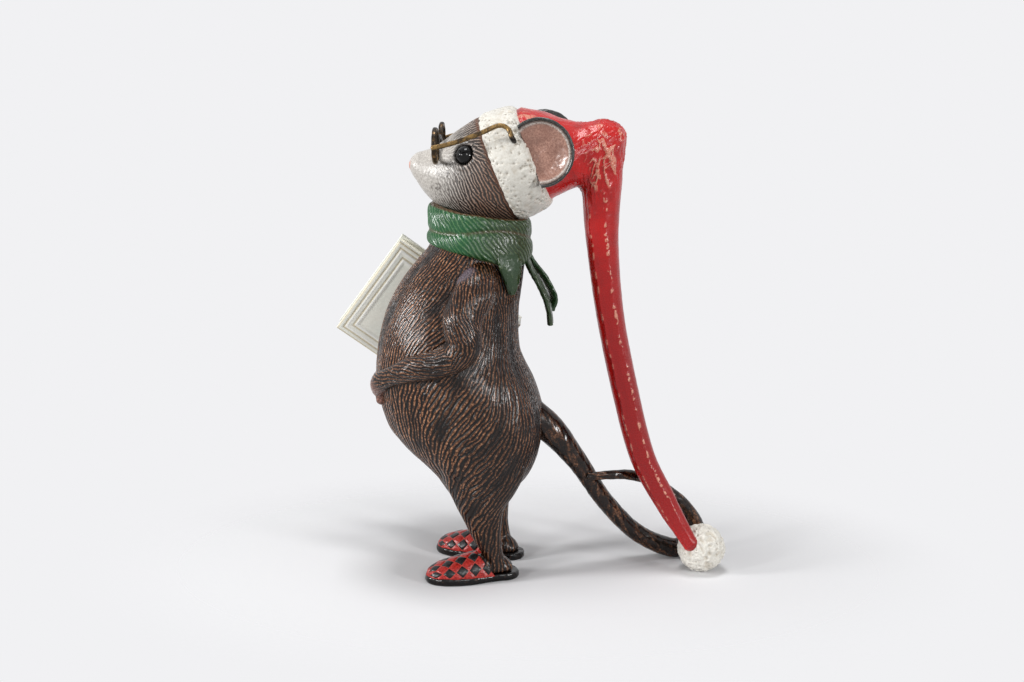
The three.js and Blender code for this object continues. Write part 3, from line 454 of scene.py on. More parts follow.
def combed(points, normals, ways, seed, spacing, reach, jitter, wander, wider=1.0):
    """Regular strokes along the ways: the cosine and sine of a wave that runs across them.

    The wave is a sum of short waves, each first put in step with those round it.
    """
    rng = np.random.default_rng(seed)
    order = rng.permutation(len(points))
    cubes = np.floor(points[order] / (0.9 * spacing)).astype(int)
    _, first = np.unique(cubes @ np.array([1, 4096, 4096 ** 2]), return_index=True)
    chosen = order[first]
    middle, out = points[chosen], normals[chosen]
    along = ways[chosen]
    along = unit(along - out * np.sum(along * out, axis=1, keepdims=True))
    across = np.cross(out, along)
    stray = rng.normal(0, wander, (len(chosen), 1))
    along, across = unit(along + across * stray), unit(across - along * stray)
    axes = [along, across, out]
    starts = [np.sum(axis * middle, axis=1) for axis in axes]
    wide = 1.1 * spacing
    rate = 2 * np.pi / (spacing * rng.uniform(1 - jitter, 1 + jitter, len(chosen)))
    rate /= np.broadcast_to(wider, len(points))[chosen]
    phase = rng.uniform(0, 2 * np.pi, len(chosen))
    size = 2 * reach
    sources = Cells(middle, size)

    def summed(where):
        total = np.zeros(len(where), complex)
        for key, group in Cells(where, size).groups.items():
            near = sources.near(key)
            if len(near) == 0:
                continue
            u, v, w = (where[group] @ axis[near].T - start[near]
                       for axis, start in zip(axes, starts))
            weight = np.exp(-(u / reach) ** 2 - (v / wide) ** 2 - (w / wide) ** 2)
            total[group] = (weight * np.exp(1j * (v * rate[near] + phase[near]))).sum(1)
        return total

    for _ in range(3):
        phase = np.angle(summed(middle))
    total = summed(points)
    return total / np.abs(total).mean()


def crest_share(wave):
    """From -1 in the grooves of a combed wave to 1 on its ridges."""
    return wave.real / np.maximum(np.abs(wave), 0.3)


def ridges(wave):
    """Flat-topped ridges with narrow grooves between them, from a combed wave."""
    return 2 * smooth(-0.95, -0.15, crest_share(wave)) - 1


# Meshes, in millimetres until a piece is placed

def mesh_of(points, faces):
    mesh = bpy.data.meshes.new("mesh")
    mesh.from_pydata(np.asarray(points, float).tolist(), [], faces)
    mesh.update()
    return mesh


def skin(points, faces):
    """A mesh whose faces all look outwards."""
    mesh = mesh_of(points, faces)
    work = bmesh.new()
    work.from_mesh(mesh)
    bmesh.ops.recalc_face_normals(work, faces=work.faces)
    work.to_mesh(mesh)
    work.free()
    return mesh


def read(mesh):
    points = np.empty(len(mesh.vertices) * 3)
    mesh.vertices.foreach_get("co", points)
    normals = np.empty(len(mesh.vertices) * 3, np.float32)
    mesh.vertex_normals.foreach_get("vector", normals)
    return points.reshape(-1, 3), normals.reshape(-1, 3).astype(float)


def write(mesh, points):
    mesh.vertices.foreach_set("co", points.ravel())
    mesh.update()


def raised(mesh, points, normals, height):
    write(mesh, points + normals * height[:, None])


def stood_on_floor(mesh):
    points, _ = read(mesh)
    points[:, 2] = np.maximum(points[:, 2], 0)
    write(mesh, points)


def mark(mesh, **layers):
    """Named values on the points of a mesh, for its material."""
    for name, values in layers.items():
        layer = mesh.attributes.new(name, "FLOAT", "POINT")
        values = np.zeros(len(mesh.vertices)) + values
        layer.data.foreach_set("value", values.astype(np.float32))


def mark_wave(mesh, wave):
    mark(mesh, wave_c=wave.real, wave_s=wave.imag)


def relax(mesh, rounds):
    """Evens out a mesh by moving each point halfway to the middle of its neighbours."""
    points, _ = read(mesh)
    pairs = np.empty(len(mesh.edges) * 2, int)
    mesh.edges.foreach_get("vertices", pairs)
    a, b = pairs.reshape(-1, 2).T
    total = len(points)
    count = np.bincount(a, minlength=total) + np.bincount(b, minlength=total)
    for _ in range(rounds):
        near = np.stack([
            np.bincount(a, points[b, n], total) + np.bincount(b, points[a, n], total)
            for n in range(3)], axis=1) / count[:, None]
        points += (near - points) * 0.5
    write(mesh, points)


def added(name, data):
    thing = bpy.data.objects.new(name, data)
    bpy.context.scene.collection.objects.link(thing)
    return thing


def remeshed(points, faces, voxel):
    """One skin round overlapping closed forms."""
    thing = added("scratch", mesh_of(points, faces))
    modifier = thing.modifiers.new("skin", "REMESH")
    modifier.mode = "VOXEL"
    modifier.voxel_size = voxel
    graph = bpy.context.evaluated_depsgraph_get()
    mesh = bpy.data.meshes.new_from_object(thing.evaluated_get(graph))
    bpy.data.objects.remove(thing)
    return mesh


def piece(name, mesh, node, material, place=None):
    """Puts a mesh in its place on the figure, under the root, and hides the part it stands for."""
    matrix = Matrix.Translation(Vector(SHIFT)) @ (place or Matrix())
    mesh.transform(Matrix.Scale(MM, 4) @ matrix)
    mesh.shade_smooth()
    mesh.materials.clear()
    mesh.materials.append(material)
    mesh.name = name
    thing = added(name, mesh)
    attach(thing, "root")
    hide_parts(node)


# Materials

def colour(red, green, blue):
    """A colour written in display values from 0 to 255, as linear light."""
    c = np.array([red, green, blue]) / 255
    return tuple(np.where(c <= 0.04045, c / 12.92, ((c + 0.055) / 1.055) ** 2.4))


class Nodes:
    """Short calls for the nodes of one tree. Colours of 3 numbers are display values."""

    def __init__(self, tree):
        self.nodes, self.links = tree.nodes, tree.links
        self.nodes.clear()

    def add(self, kind, *values, **options):
        """A node with its first inputs, and others or its settings by name."""
        node = self.nodes.new("ShaderNode" + kind)
        for name, value in options.items():
            if hasattr(node, name):
                setattr(node, name, value)
            else:
                self.feed(node.inputs[name.replace("_", " ")], value)
        for socket, value in zip(node.inputs, values):
            self.feed(socket, value)
        return node

    def feed(self, socket, value):
        if isinstance(value, bpy.types.NodeSocket):
            self.links.new(value, socket)
        elif socket.type == "RGBA" and len(value) == 3:
            socket.default_value = (*colour(*value), 1)
        else:
            socket.default_value = value

    def math(self, operation, a, b=0.0):
        return self.add("Math", a, b, operation=operation).outputs[0]

    def plus(self, a, b):
        return self.math("ADD", a, b)

    def times(self, a, b):
        return self.math("MULTIPLY", a, b)

    def ramp(self, value, low, high, start=0.0, end=1.0):
        return self.add("MapRange", value, low, high, start, end,
                        interpolation_type="SMOOTHSTEP").outputs[0]


class Paint(Nodes):
    """A Principled material."""

    def __init__(self, name, **sockets):
        self.material = bpy.data.materials.new(name)
        self.material.use_nodes = True
        super().__init__(self.material.node_tree)
        self.surface = self.add("BsdfPrincipled")
        self.add("OutputMaterial", self.surface.outputs[0])
        place = self.add("TexCoord").outputs["Object"]
        self.place = self.add("VectorMath", place, operation="SCALE", Scale=1 / MM).outputs[0]
        self.set(**sockets)

    def set(self, **sockets):
        for name, value in sockets.items():
            self.feed(self.surface.inputs[name.replace("_", " ")], value)

    def mark(self, name):
        return self.add("Attribute", attribute_name=name).outputs["Fac"]

    def stroke(self, low, high):
        """1 along the strokes of a combed wave and 0 between them."""
        c, s = self.mark("wave_c"), self.mark("wave_s")
        size = self.math("SQRT", self.plus(self.plus(self.times(c, c), self.times(s, s)), 0.04))
        return self.ramp(self.math("DIVIDE", c, size), low, high)

    def noise(self, scale, detail=2.0, roughness=0.5):
        """Cloudy values; the scale is per millimetre."""
        return self.add("TexNoise", Vector=self.place, Scale=scale, Detail=detail,
                        Roughness=roughness).outputs[0]

    def mix(self, share, a, b):
        node = self.add("Mix", data_type="RGBA")
        for n, value in ((0, share), (6, a), (7, b)):
            self.feed(node.inputs[n], value)
        return node.outputs[2]

    def tint(self, value, low, high, a, b):
        return self.mix(self.ramp(value, low, high), a, b)

    def over(self, base, mark, tone):
        """The tone laid over the base where the mesh has the mark."""
        return self.mix(self.mark(mark), base, tone)

    def done(self, base, grain, rough, height, depth, strength):
        """Colour, a roughness that follows the grain, and relief of a depth in millimetres."""
        self.set(Base_Color=base, Roughness=self.ramp(grain, 0.3, 0.7, *rough))
        relief = self.add("Bump", Strength=strength, Distance=depth * MM, Height=height)
        self.set(Normal=relief.outputs[0])
        return self.material


def fur_paint(name, strokes=True, paw=False):
    """Dark lacquered casting with copper rubbed along its strokes, or in flecks."""
    m = Paint(name, Specular_IOR_Level=0.32)
    fine = m.noise(1.5, 4, 0.7)
    dark = (8, 5, 4)
    ground = m.tint(fine, 0.36, 0.66, dark, (36, 21, 14))
    rubbed = m.times(m.mark("rub"), m.ramp(m.noise(0.16, 3), 0.3, 0.62, 0.7, 1.0))
    rubbed = m.times(rubbed, m.ramp(fine, 0.42, 0.6, 0.2, 1.0))
    height = m.times(m.noise(0.9, 2), 0.15)
    if strokes:
        # wide is 0 in the grooves between the strokes, where the ground turns near black: painted
        # shade in the grooves.
        wide = m.stroke(-0.8, -0.1)
        ground = m.mix(wide, dark, ground)
        rubbed = m.times(rubbed, m.stroke(-0.1, 0.8))
        height = m.plus(height, m.times(wide, 0.5))
    copper = m.tint(fine, 0.5, 0.7, (150, 98, 66), (200, 152, 118))
    base = m.mix(rubbed, ground, copper)
    if paw:
        grain = m.noise(2.4, 4, 0.7)
        base = m.over(base, "paw", m.tint(grain, 0.35, 0.65, (80, 50, 44), (150, 108, 94)))
        base = m.over(base, "lilac", m.tint(grain, 0.35, 0.65, (60, 52, 60), (136, 126, 138)))
    return m.done(base, fine, (0.14, 0.26), height, 0.2, 0.9)


def head_paint():
    """White muzzle, then dark lines on white, then pale lines on brown."""
    m = Paint("head", Specular_IOR_Level=0.4)
    fine = m.noise(2.2, 4, 0.75)
    stroke = m.stroke(0.0, 0.8)
    white = m.tint(fine, 0.3, 0.65, (160, 154, 148), (206, 201, 194))
    freckle = m.times(m.mark("freckle"), m.ramp(m.noise(1.1, 3, 0.6), 0.5, 0.66))
    white = m.mix(freckle, white, (70, 62, 56))
    dark = m.tint(fine, 0.35, 0.7, (20, 13, 10), (52, 37, 30))
    tan = m.tint(fine, 0.38, 0.62, (104, 70, 52), (172, 138, 118))
    base = m.mix(stroke, m.over(white, "ground", dark), m.over(white, "crest", tan))
    base = m.over(base, "nose", (204, 138, 118))
    # Dark round the eye socket and in a line under the eye toward the rim: painted shade.
    base = m.over(base, "eye_shade", (32, 27, 27))
    base = m.over(base, "brim", (96, 58, 38))
    height = m.times(m.times(stroke, m.mark("carved")), 0.8)
    height = m.plus(height, m.times(m.noise(1.1, 2), 0.3))
    return m.done(base, fine, (0.24, 0.42), height, 0.18, 0.9)


def enamel(name, main, deep_and_shade, worn, share):
    """Glossy paint clouded with a deeper tone, which is also laid as painted shade where the mesh
    is marked low, and a worn tint on its ridges that is partly wear and partly painted highlight.
    """
    m = Paint(name, Specular_IOR_Level=0.45)
    ridge = m.mark("ridge")
    fine = m.noise(1.7, 4, 0.65)
    base = m.mix(m.ramp(m.noise(0.22, 4), 0.4, 0.75, 0.0, 0.6), main, deep_and_shade)
    # Painted shade: the deeper tone where the mesh is marked low.
    base = m.over(base, "low", deep_and_shade)
    # Painted shade in an olive tone, on the back of the scarf and its hanging pieces.
    base = m.over(base, "olive_back_shade", (44, 52, 30))
    # The pale tint on the ridges is partly wear and partly painted highlight.
    rubbed = m.times(m.ramp(ridge, 0.4, 0.9), m.ramp(fine, 0.34, 0.52))
    base = m.mix(m.times(rubbed, share), base, worn)
    base = m.over(base, "edge", (92, 58, 38))
    height = m.plus(m.times(ridge, 0.6), m.noise(0.8, 2))
    return m.done(base, fine, (0.2, 0.34), height, 0.1, 0.8)


def paint(name, grain, tint, layers, rough, relief, depth, strength, **sockets):
    """A clouded paint with a tone or a tint, of 4 values, laid over each of its marks."""
    m = Paint(name, **sockets)
    fine = m.noise(*grain)
    base = m.tint(fine, *tint)
    for mark, tone in layers:
        base = m.over(base, mark, tone if len(tone) == 3 else m.tint(fine, *tone))
    return m.done(base, fine, rough, m.noise(*relief), depth, strength)


def ear_paint():
    m = Paint("ear_pink", Specular_IOR_Level=0.4, Coat_Weight=0.3, Coat_Roughness=0.2)
    fine = m.noise(2.0, 4, 0.75)
    base = m.tint(fine, 0.36, 0.66, (134, 96, 82), (178, 136, 120))
    base = m.mix(m.ramp(m.noise(0.22, 3), 0.42, 0.66, 0.0, 0.4), base, (116, 78, 66))
    base = m.over(base, "rim", m.tint(fine, 0.35, 0.6, (120, 116, 110), (216, 212, 206)))
    base = m.over(base, "back", m.tint(fine, 0.5, 0.75, (26, 26, 24), (96, 94, 86)))
    return m.done(base, fine, (0.26, 0.34), m.noise(1.1, 2), 0.015, 0.6)


def check_paint():
    """Red and black checks with a fine red line between them, on two slanting counts."""
    m = Paint("slipper_check", Specular_IOR_Level=0.4)
    fine = m.noise(1.5, 4, 0.7)
    red = m.tint(fine, 0.35, 0.65, (128, 18, 15), (176, 44, 36))
    black = m.tint(fine, 0.5, 0.8, (7, 7, 9), (46, 44, 44))
    counts = [m.mark("count_a"), m.mark("count_b")]
    odd = m.plus(*(m.math("FLOOR", count) for count in counts))
    odd = m.math("MODULO", m.plus(odd, 40.0), 2.0)
    base = m.mix(m.math("GREATER_THAN", odd, 0.5), red, black)
    for count in counts:
        edge = m.math("ABSOLUTE", m.math("SUBTRACT", m.math("FRACT", count), 0.5))
        base = m.mix(m.ramp(edge, 0.455, 0.485, 0.0, 0.7), base, (186, 66, 54))
    return m.done(base, fine, (0.24, 0.38), m.noise(0.9, 2), 0.08, 0.6)


def book_paint(name, main, soft):
    m = Paint(name, Specular_IOR_Level=0.35, Coat_Weight=0.1, Coat_Roughness=0.25)
    fine = m.noise(1.4, 4, 0.6)
    base = m.tint(m.noise(0.12, 3), 0.35, 0.7, main, soft)
    base = m.mix(m.ramp(fine, 0.3, 0.75, 0.0, 0.15), base, (190, 186, 170))
    # White on the raised beads of the rules: painted highlight.
    base = m.over(base, "white", (236, 236, 232))
    base = m.over(base, "gold", m.tint(fine, 0.35, 0.65, (140, 116, 72), (190, 170, 120)))
    return m.done(base, fine, (0.36, 0.5), m.noise(0.9, 4), 0.1, 0.4)


FUR, TAIL_FUR = fur_paint("fur"), fur_paint("tail", strokes=False)
ARM_FUR = fur_paint("arm_fur", paw=True)
HEAD_FUR = head_paint()
RED = enamel("cap_red", (196, 16, 13), (148, 10, 10), (224, 158, 134), 0.85)
GREEN = enamel("scarf_green", (2, 92, 42), (8, 62, 30), (140, 154, 116), 0.25)
WHITE = paint("cap_white", (1.6, 4, 0.7), (0.3, 0.6, (206, 201, 190), (222, 219, 211)),
              # Darker in the hollows between the lumps and in the dents: painted shade.
              [("hollow", (190, 178, 160)), ("pit", (124, 110, 92))],
              (0.26, 0.4), (0.9, 2), 0.1, 0.6, Specular_IOR_Level=0.3)
EAR_PINK = ear_paint()
BRASS = paint("wire_brass", (0.55, 4, 0.7), (0.32, 0.62, (40, 31, 23), (138, 110, 66)),
              [("dull", (0.5, 0.72, (20, 16, 14), (126, 96, 62)))],
              (0.46, 0.3), (1.2, 2), 0.08, 0.6, Metallic=0.7)
EYE_BLACK = paint("eye_black", (1.2, 3), (0.3, 0.7, (4, 4, 5), (13, 12, 12)), [],
                  (0.05, 0.09), (0.8, 2), 0.01, 0.3, Specular_IOR_Level=0.26)
SOLE_BLACK = paint("sole_black", (1.1, 4, 0.7), (0.55, 0.78, (6, 5, 5), (70, 48, 36)), [],
                   (0.1, 0.24), (0.8, 2), 0.2, 0.6, Specular_IOR_Level=0.3)
CHECKS = check_paint()
CREAM = book_paint("book_cream", (242, 241, 231), (235, 237, 228))
PAGE = book_paint("page_white", (228, 225, 212), (218, 214, 198))


# Body: torso, legs and heels in one skin, carved along the flow of the fur

def foot_matrix(side):
    back = RIGHT_LEG_BACK if side < 0 else 0
    turn = Matrix.Rotation(side * TOE_OUT, 4, "Z")
    return Matrix.Translation((side * FOOT_X, FOOT_Y + back, 0)) @ turn


def foot_form(side):
    rows = np.array(UPPER[1:-1], float)
    rows[:, 0] -= SOLE_LENGTH / 2
    rows[:, 1:] = np.maximum(rows[:, 1:] - FOOT_INSIDE, 0.4)
    rows[:2, 0] += FOOT_INSIDE
    heel = np.array([[SOLE_LENGTH / 2 - y, half, rise] for y, half, rise in HEEL])
    y, half, rise = spline(np.concatenate([rows, heel]), 40).T[:, :, None]
    angle = around(32)[None, :]
    points, faces = closed_loft(grid_of(
        half * np.sin(angle), y, FOOT_FLOOR - 0.2 + rise * np.maximum(np.cos(angle), 0)))
    m = np.array(foot_matrix(side))
    return points @ m[:3, :3].T + m[:3, 3], faces


def build_body():
    parts = [column(TORSO, 140, 120)]
    for _, side in SIDES:
        back = RIGHT_LEG_BACK if side < 0 else 0
        parts += [column(LEG, 70, 56, side * LEG_X, back), foot_form(side)]
    mesh = remeshed(*joined(parts), detail(0.8, 0.37))
    relax(mesh, 5)
    points, normals = read(mesh)
    x, y, z = points.T
    # The cleft between the haunches, at the back
    window = smooth(16, 23, z) * (1 - smooth(44, 54, z)) * smooth(2, 9, y)
    raised(mesh, points, normals, -4.6 * bump(x, 0, 4.2) * window)
    relax(mesh, 2)
    points, normals = read(mesh)
    x, y, z = points.T
    heading = flow_field(FUR_FLOW, 6.0)
    wider = 1 + 0.32 * smooth(78, 60, z)
    wave = combed(points, normals, heading(points), 11, 1.05, 2.0, 0.25, 0.2, wider)
    locks = streaks(points, normals, heading, Noise(13), 3.0, 8.0)
    calm = 1 - 0.5 * bump(y, 13, 8) * bump(z, 34, 12)
    above_feet = smooth(6, 16, z)
    raised(mesh, points, normals,
           (0.1 * ridges(wave) + 0.12 * locks) * (calm * (0.3 + 0.7 * above_feet)))
    mark_wave(mesh, wave * (0.25 + 0.75 * above_feet))
    rub = calm * (0.75 + 0.25 * (1 - smooth(-6, 14, y))) * (0.75 + 0.25 * smooth(24, 40, z))
    mark(mesh, rub=rub * smooth(-2.2, 0.0, locks))
    piece("body_fur", mesh, "body", FUR)


# Arms, with the fingers joined to them

def hand(palm, across, way):
    straight = FINGER_LENGTH - FINGER_RADIUS
    outermost = (FINGERS - 1) / 2
    forms = []
    for i in range(FINGERS):
        start = palm + across * (i - outermost) * FINGER_PITCH
        mid = start + way * straight * 0.55 + across * 0.15 * (i - outermost)
        end = start + way * straight
        forms.append(closed_loft(tube([[*start, 1.55], [*mid, 1.25], [*end, 1.4]], 14, 20)))
    knuckles = [[*(palm + across * s * outermost * FINGER_PITCH), 1.7] for s in (-1, 1)]
    return forms + [closed_loft(tube(knuckles, 12, 20))]


def build_arm(name, rows, across, way, side, seed):
    rows = np.array(rows, float)
    palm = rows[-1, :3]
    across, way = unit(np.array(across)), unit(np.array(way))
    parts = [closed_loft(tube(rows, 90, 44))] + hand(palm, across, way)
    mesh = remeshed(*joined(parts), detail(0.6, 0.27))
    relax(mesh, 4)
    points, normals = read(mesh)
    sample = spline(rows, ARM_PLACES)[:, :3]
    tangents = unit(np.gradient(sample, axis=0))
    near = ((points[:, None] - sample[None]) ** 2).sum(2).argmin(1)
    swirl = np.cross(tangents[near], normals)
    lean = np.where(near < ELBOW, -0.35, 0.3)[:, None] * side
    ways = unit(tangents[near] + swirl * lean)
    wave = combed(points, normals, ways, seed, 1.05, 1.9, 0.25, 0.2)
    locks = streaks(points, normals, lambda p: ways, Noise(seed + 2), 2.4, 6.0)
    paw = 1 - smooth(4.0, 8.0, distance(points, palm))
    raised(mesh, points, normals, (0.08 * ridges(wave) + 0.1 * locks) * (1 - 0.8 * paw))
    mark_wave(mesh, wave * (1 - 0.6 * paw))
    mark(mesh, rub=0.75 * smooth(-1.6, 0.4, locks), paw=paw,
         lilac=0.8 * (1 - smooth(1.6, 4.8, distance(points, mirrored(SHOULDER, side)))))
    piece(name + "_fur", mesh, name, ARM_FUR)


# Head

def build_head():
    levels, sides = detail((140, 96), (320, 300))
    y, low, high, half = spline(HEAD, levels).T
    middle, tall = (low + high) / 2, (high - low) / 2
    # A rounded end before the first section
    rise = np.linspace(np.pi / 2, 0, 12)[:-1]
    y = np.concatenate([y[0] - 0.25 * np.sin(rise), y])
    middle = np.concatenate([np.full(len(rise), middle[0]), middle])
    tall, half = (np.concatenate([np.maximum(size[0] * np.cos(rise), 0.02), size])
                  for size in (tall, half))
    angle = around(sides)[None, :]
    mesh = skin(*closed_loft(grid_of(
        half[:, None] * np.sin(angle), y[:, None],
        middle[:, None] + tall[:, None] * np.cos(angle))))
    relax(mesh, 6)
    points, normals = read(mesh)
    x, y, z = points.T
    push = np.zeros(len(points))
    for _, side in SIDES:
        gap = distance(points, mirrored(EYE, side))
        push += -2.0 * (1 - smooth(2.6, 3.7, gap)) + 0.4 * bump(gap, 4.1, 0.8)
        push += 0.5 * bump(distance(points, mirrored(CHEEK, side)), 0, 6)
        push -= 0.3 * bump(distance(points, mirrored(NOSTRIL, side)), 0, 0.5)
    front = 1 - smooth(-18.6, -17.0, y)
    lip, mouth = 1 - smooth(127.6, 128.6, z), 1 - smooth(2.2, 3.4, np.abs(x))
    push -= 0.25 * bump(x, 0, 0.35) * front * lip
    push -= 0.25 * bump(z, 125.3 - 0.05 * x ** 2, 0.35) * mouth * front
    # Moved in place, so that x, y and z move along
    points += normals * push[:, None]
    write(mesh, points)
    points, normals = read(mesh)
    wave = combed(points, normals, flow_field(HEAD_FLOW, 3.2)(points), 41, 0.98, 1.7, 0.28, 0.22)
    # How far back from the nose
    s = y - 0.3 * (z - 125) + 0.5 * smooth(135, 142, z) * 9
    carved = smooth(-13, -2, s)
    raised(mesh, points, normals, 0.1 * carved * ridges(wave) + 0.03 * Noise(43)(points, 0.55))
    # Painted shade round the eye socket, and in a line under the eye from the rim toward it.
    eye_shade = np.zeros(len(points))
    for _, side in SIDES:
        gap = distance(points, mirrored(EYE, side) + np.array([0, -0.3, 0.2]))
        eye_shade = np.maximum(eye_shade, 1 - smooth(3.0, 4.0, gap))
        line = bump(z, 131.6 + 0.12 * (y + 4), 0.7) * smooth(-12, -10, y)
        line = line * (1 - smooth(-4.4, -3.4, y))
        eye_shade = np.maximum(eye_shade, 0.55 * line * (x * side > 0))
    brim = (points - CUFF_CENTRE) @ CUFF_AXIS + CUFF_WIDTH / 2
    mark_wave(mesh, wave)
    mark(mesh, carved=carved, ground=smooth(-15, -1, s) * 0.95, crest=smooth(-9, 6, s),
         freckle=0.9 * bump(s, -8, 7) * (1 - smooth(130, 134, z)),
         nose=0.85 * (1 - smooth(0.8, 2.9, distance(points, NOSE_TIP))),
         eye_shade=0.9 * eye_shade, brim=0.8 * bump(brim, -0.3, 0.5))
    piece("head_fur", mesh, "head", HEAD_FUR)


def build_eyes():
    rise = np.linspace(-np.pi / 2, np.pi / 2, 40)[1:-1]
    angle = around(56)[None, :, None]
    bulge = EYE_RADIUS * (1 + 0.05 * smooth(0.4, 1.4, rise))
    for name, side in SIDES:
        out = unit(mirrored((0.93, -0.2, 0.28), side))
        across = unit(np.cross(out, Z_AXIS))
        up = np.cross(across, out)
        centre = mirrored(EYE, side) + out * (bulge * np.sin(rise))[:, None]
        mesh = skin(*closed_loft(
            centre[:, None] + (EYE_RADIUS * np.cos(rise))[:, None, None] * (
                across * np.cos(angle) + up * np.sin(angle))))
        piece(name + "_eye_bead", mesh, name + "_eye", EYE_BLACK)


# Cap

def build_crown():
    levels, sides = detail((200, 80), (620, 150))
    sample = spline(CAP, levels)
    outer, inner = (np.column_stack([sample[:, 5], sample[:, n:n + 2]]) for n in (0, 2))
    half = sample[:, 4]
    centre = (outer + inner) / 2
    reach = np.linalg.norm(outer - inner, axis=1) / 2
    inward = unit(inner - outer)
    angle = around(sides)[:, None]
    cos, sin = np.cos(angle), np.sin(angle)
    seat = [CUFF_CENTRE + CUFF_AXIS * along + CAP_SEAT_RADIUS * (X_AXIS * cos - CUFF_UP * sin)
            for along in CAP_SEAT_RINGS]
    body = (centre[:, None] + X_AXIS * half[:, None, None] * cos
            + inward[:, None] * reach[:, None, None] * sin)
    ahead = np.cross(X_AXIS, inward[-1])
    tips = [centre[-1] + ahead * reach[-1] * on + X_AXIS * half[-1] * share * cos
            + inward[-1] * reach[-1] * share * sin for share, on in CAP_TIP]
    mesh = skin(*closed_loft(np.concatenate([np.array(seat), body, np.array(tips)])))
    before, after = len(seat), len(tips)
    down = np.concatenate([np.zeros(before), np.linspace(0, 1, levels), np.ones(after)])
    path = np.vstack([centre[:1]] * before + [centre] + [centre[-1:]] * after)
    span = np.concatenate([[0], np.cumsum(np.linalg.norm(np.diff(path, axis=0), axis=1))])
    turn = np.concatenate([np.tile(around(sides), len(down)), [0, 0]])
    cap_folds(mesh, on_rings(down, sides), turn, on_rings(span, sides))
    piece("cap_enamel", mesh, "hat_crown", RED)


def cap_heading(p):
    low = smooth(134, 124, p[:, 2])[:, None]
    front = smooth(30, 24, p[:, 1])[:, None]
    way = np.array([0, 0.75, 0.6]) * (1 - low) + np.array([0, 0.12, -1.0]) * low
    return way * (1 - front) + np.array([0, 0.9, -0.4]) * front


def groove_heading(p):
    return grid_of(0, 0.09 * (p[:, 1] - 40.3) + 0.1, -1)


def cap_folds(mesh, down, turn, span):
    """Facet edges down the cap's tail, worn grooves at the bend and short carved strokes."""
    points, normals = read(mesh)
    x, y, z = points.T
    tail = smooth(0.36, 0.48, down)
    hump = bump(down, 0.33, 0.13)
    lines = crests(points, normals, cap_heading, 53, 1.7, 7.0, 0.34)
    fine = crests(points, normals, cap_heading, 54, 1.0, 4.0, 0.34)
    dash = Noise(56)(grid_of(0, 0, span), 1.3)
    chips = Noise(58)(points, 0.8)
    lift = np.zeros(len(points))
    worn = np.zeros(len(points))
    side = np.sin(turn)
    # Each edge: its place across the tail at the top, middle and bottom, height, width, chipped
    for places, height, width, chipped in (
            ((0.72, 0.45, 0.7), 0.3, 0.10, False), ((-0.05, -0.52, -0.38), 0.2, 0.13, True)):
        share = np.clip((down - 0.4) / 0.6, 0, 1)
        where = np.interp(share, (0, 0.4, 1), places) + 0.03 * np.sin(span * 0.5)
        for half in (1, -1):
            line = bump(side, where, width) * (np.cos(turn) * half > 0)
            line = line * smooth(0.4, 0.44, down) * (1 - smooth(0.93, 0.98, down))
            lift += height * line
            if chipped:
                broken = smooth(0.0, 0.35, chips + 0.5 * dash) * (1 - 0.6 * smooth(0.8, 0.9, down))
                worn = np.maximum(worn, 1.2 * line * broken)
                lift += 0.15 * line * broken
            else:
                worn = np.maximum(worn, 0.75 * line * smooth(-0.3, 0.3, dash))
    lift -= 0.2 * bump(side, 0.1, 0.3) * tail
    # Curved grooves that meet above a worn patch where the cap turns down
    patch = np.minimum(2 * bump(y, 39.8, 3.8) * bump(z, 132, 7.5), 1) * (np.abs(x) > 1)
    grooves = crests(points, normals, groove_heading, 59, 1.5, 8.0, 0.5)
    lift += 0.3 * patch * grooves
    bare = 1.2 * patch * smooth(0.2, 0.6, grooves)
    worn = np.maximum(worn, bare * smooth(-0.9, -0.1, chips + 0.3))
    lobes = Noise(51)(points, 7.0) + 0.5 * Noise(52)(points, 3.4)
    carved = (0.1 + 0.2 * hump) * (1 - 0.8 * tail)
    lift += smooth(0.0, 0.05, down) * (
        0.3 * lobes * (1 - 0.85 * tail) + carved * lines + 0.5 * carved * fine
        + 0.03 * Noise(55)(points, 1.1))
    raised(mesh, points, normals, lift)
    # Strokes on the hump, on the front above the cuff and in a patch behind it; the pale pink on
    # the hump is partly wear and partly painted highlight, and on the front above the cuff it is
    # painted highlight.
    cloud = smooth(-0.1, 0.5, Noise(57)(points, 4.5) + 0.35 * hump)
    pink_streaks_and_highlight = lines * (0.15 + 0.85 * hump) * cloud + 0.5 * fine * hump
    front = (1 - smooth(0.02, 0.14, down)) * smooth(0.2, 0.8, lines + fine) * smooth(138, 144, z)
    pink_streaks_and_highlight = np.maximum(pink_streaks_and_highlight * (1 - 0.85 * tail), 0.8 * front)
    stroke = bump(y, 35, 2.4) * bump(z, 138.5, 3.4)
    pink_streaks_and_highlight = np.maximum(pink_streaks_and_highlight, stroke * smooth(0.3, 0.8, lines + 0.6 * fine))
    # low is painted shade: darker down the lower tail, except along its inner edge that faces the
    # front.
    mark(mesh, ridge=np.maximum(pink_streaks_and_highlight, worn), edge=0, olive_back_shade=0,
         low=0.85 * smooth(0.4, 0.75, down) * smooth(0.75, 0.45, side) + 0.3 * tail)


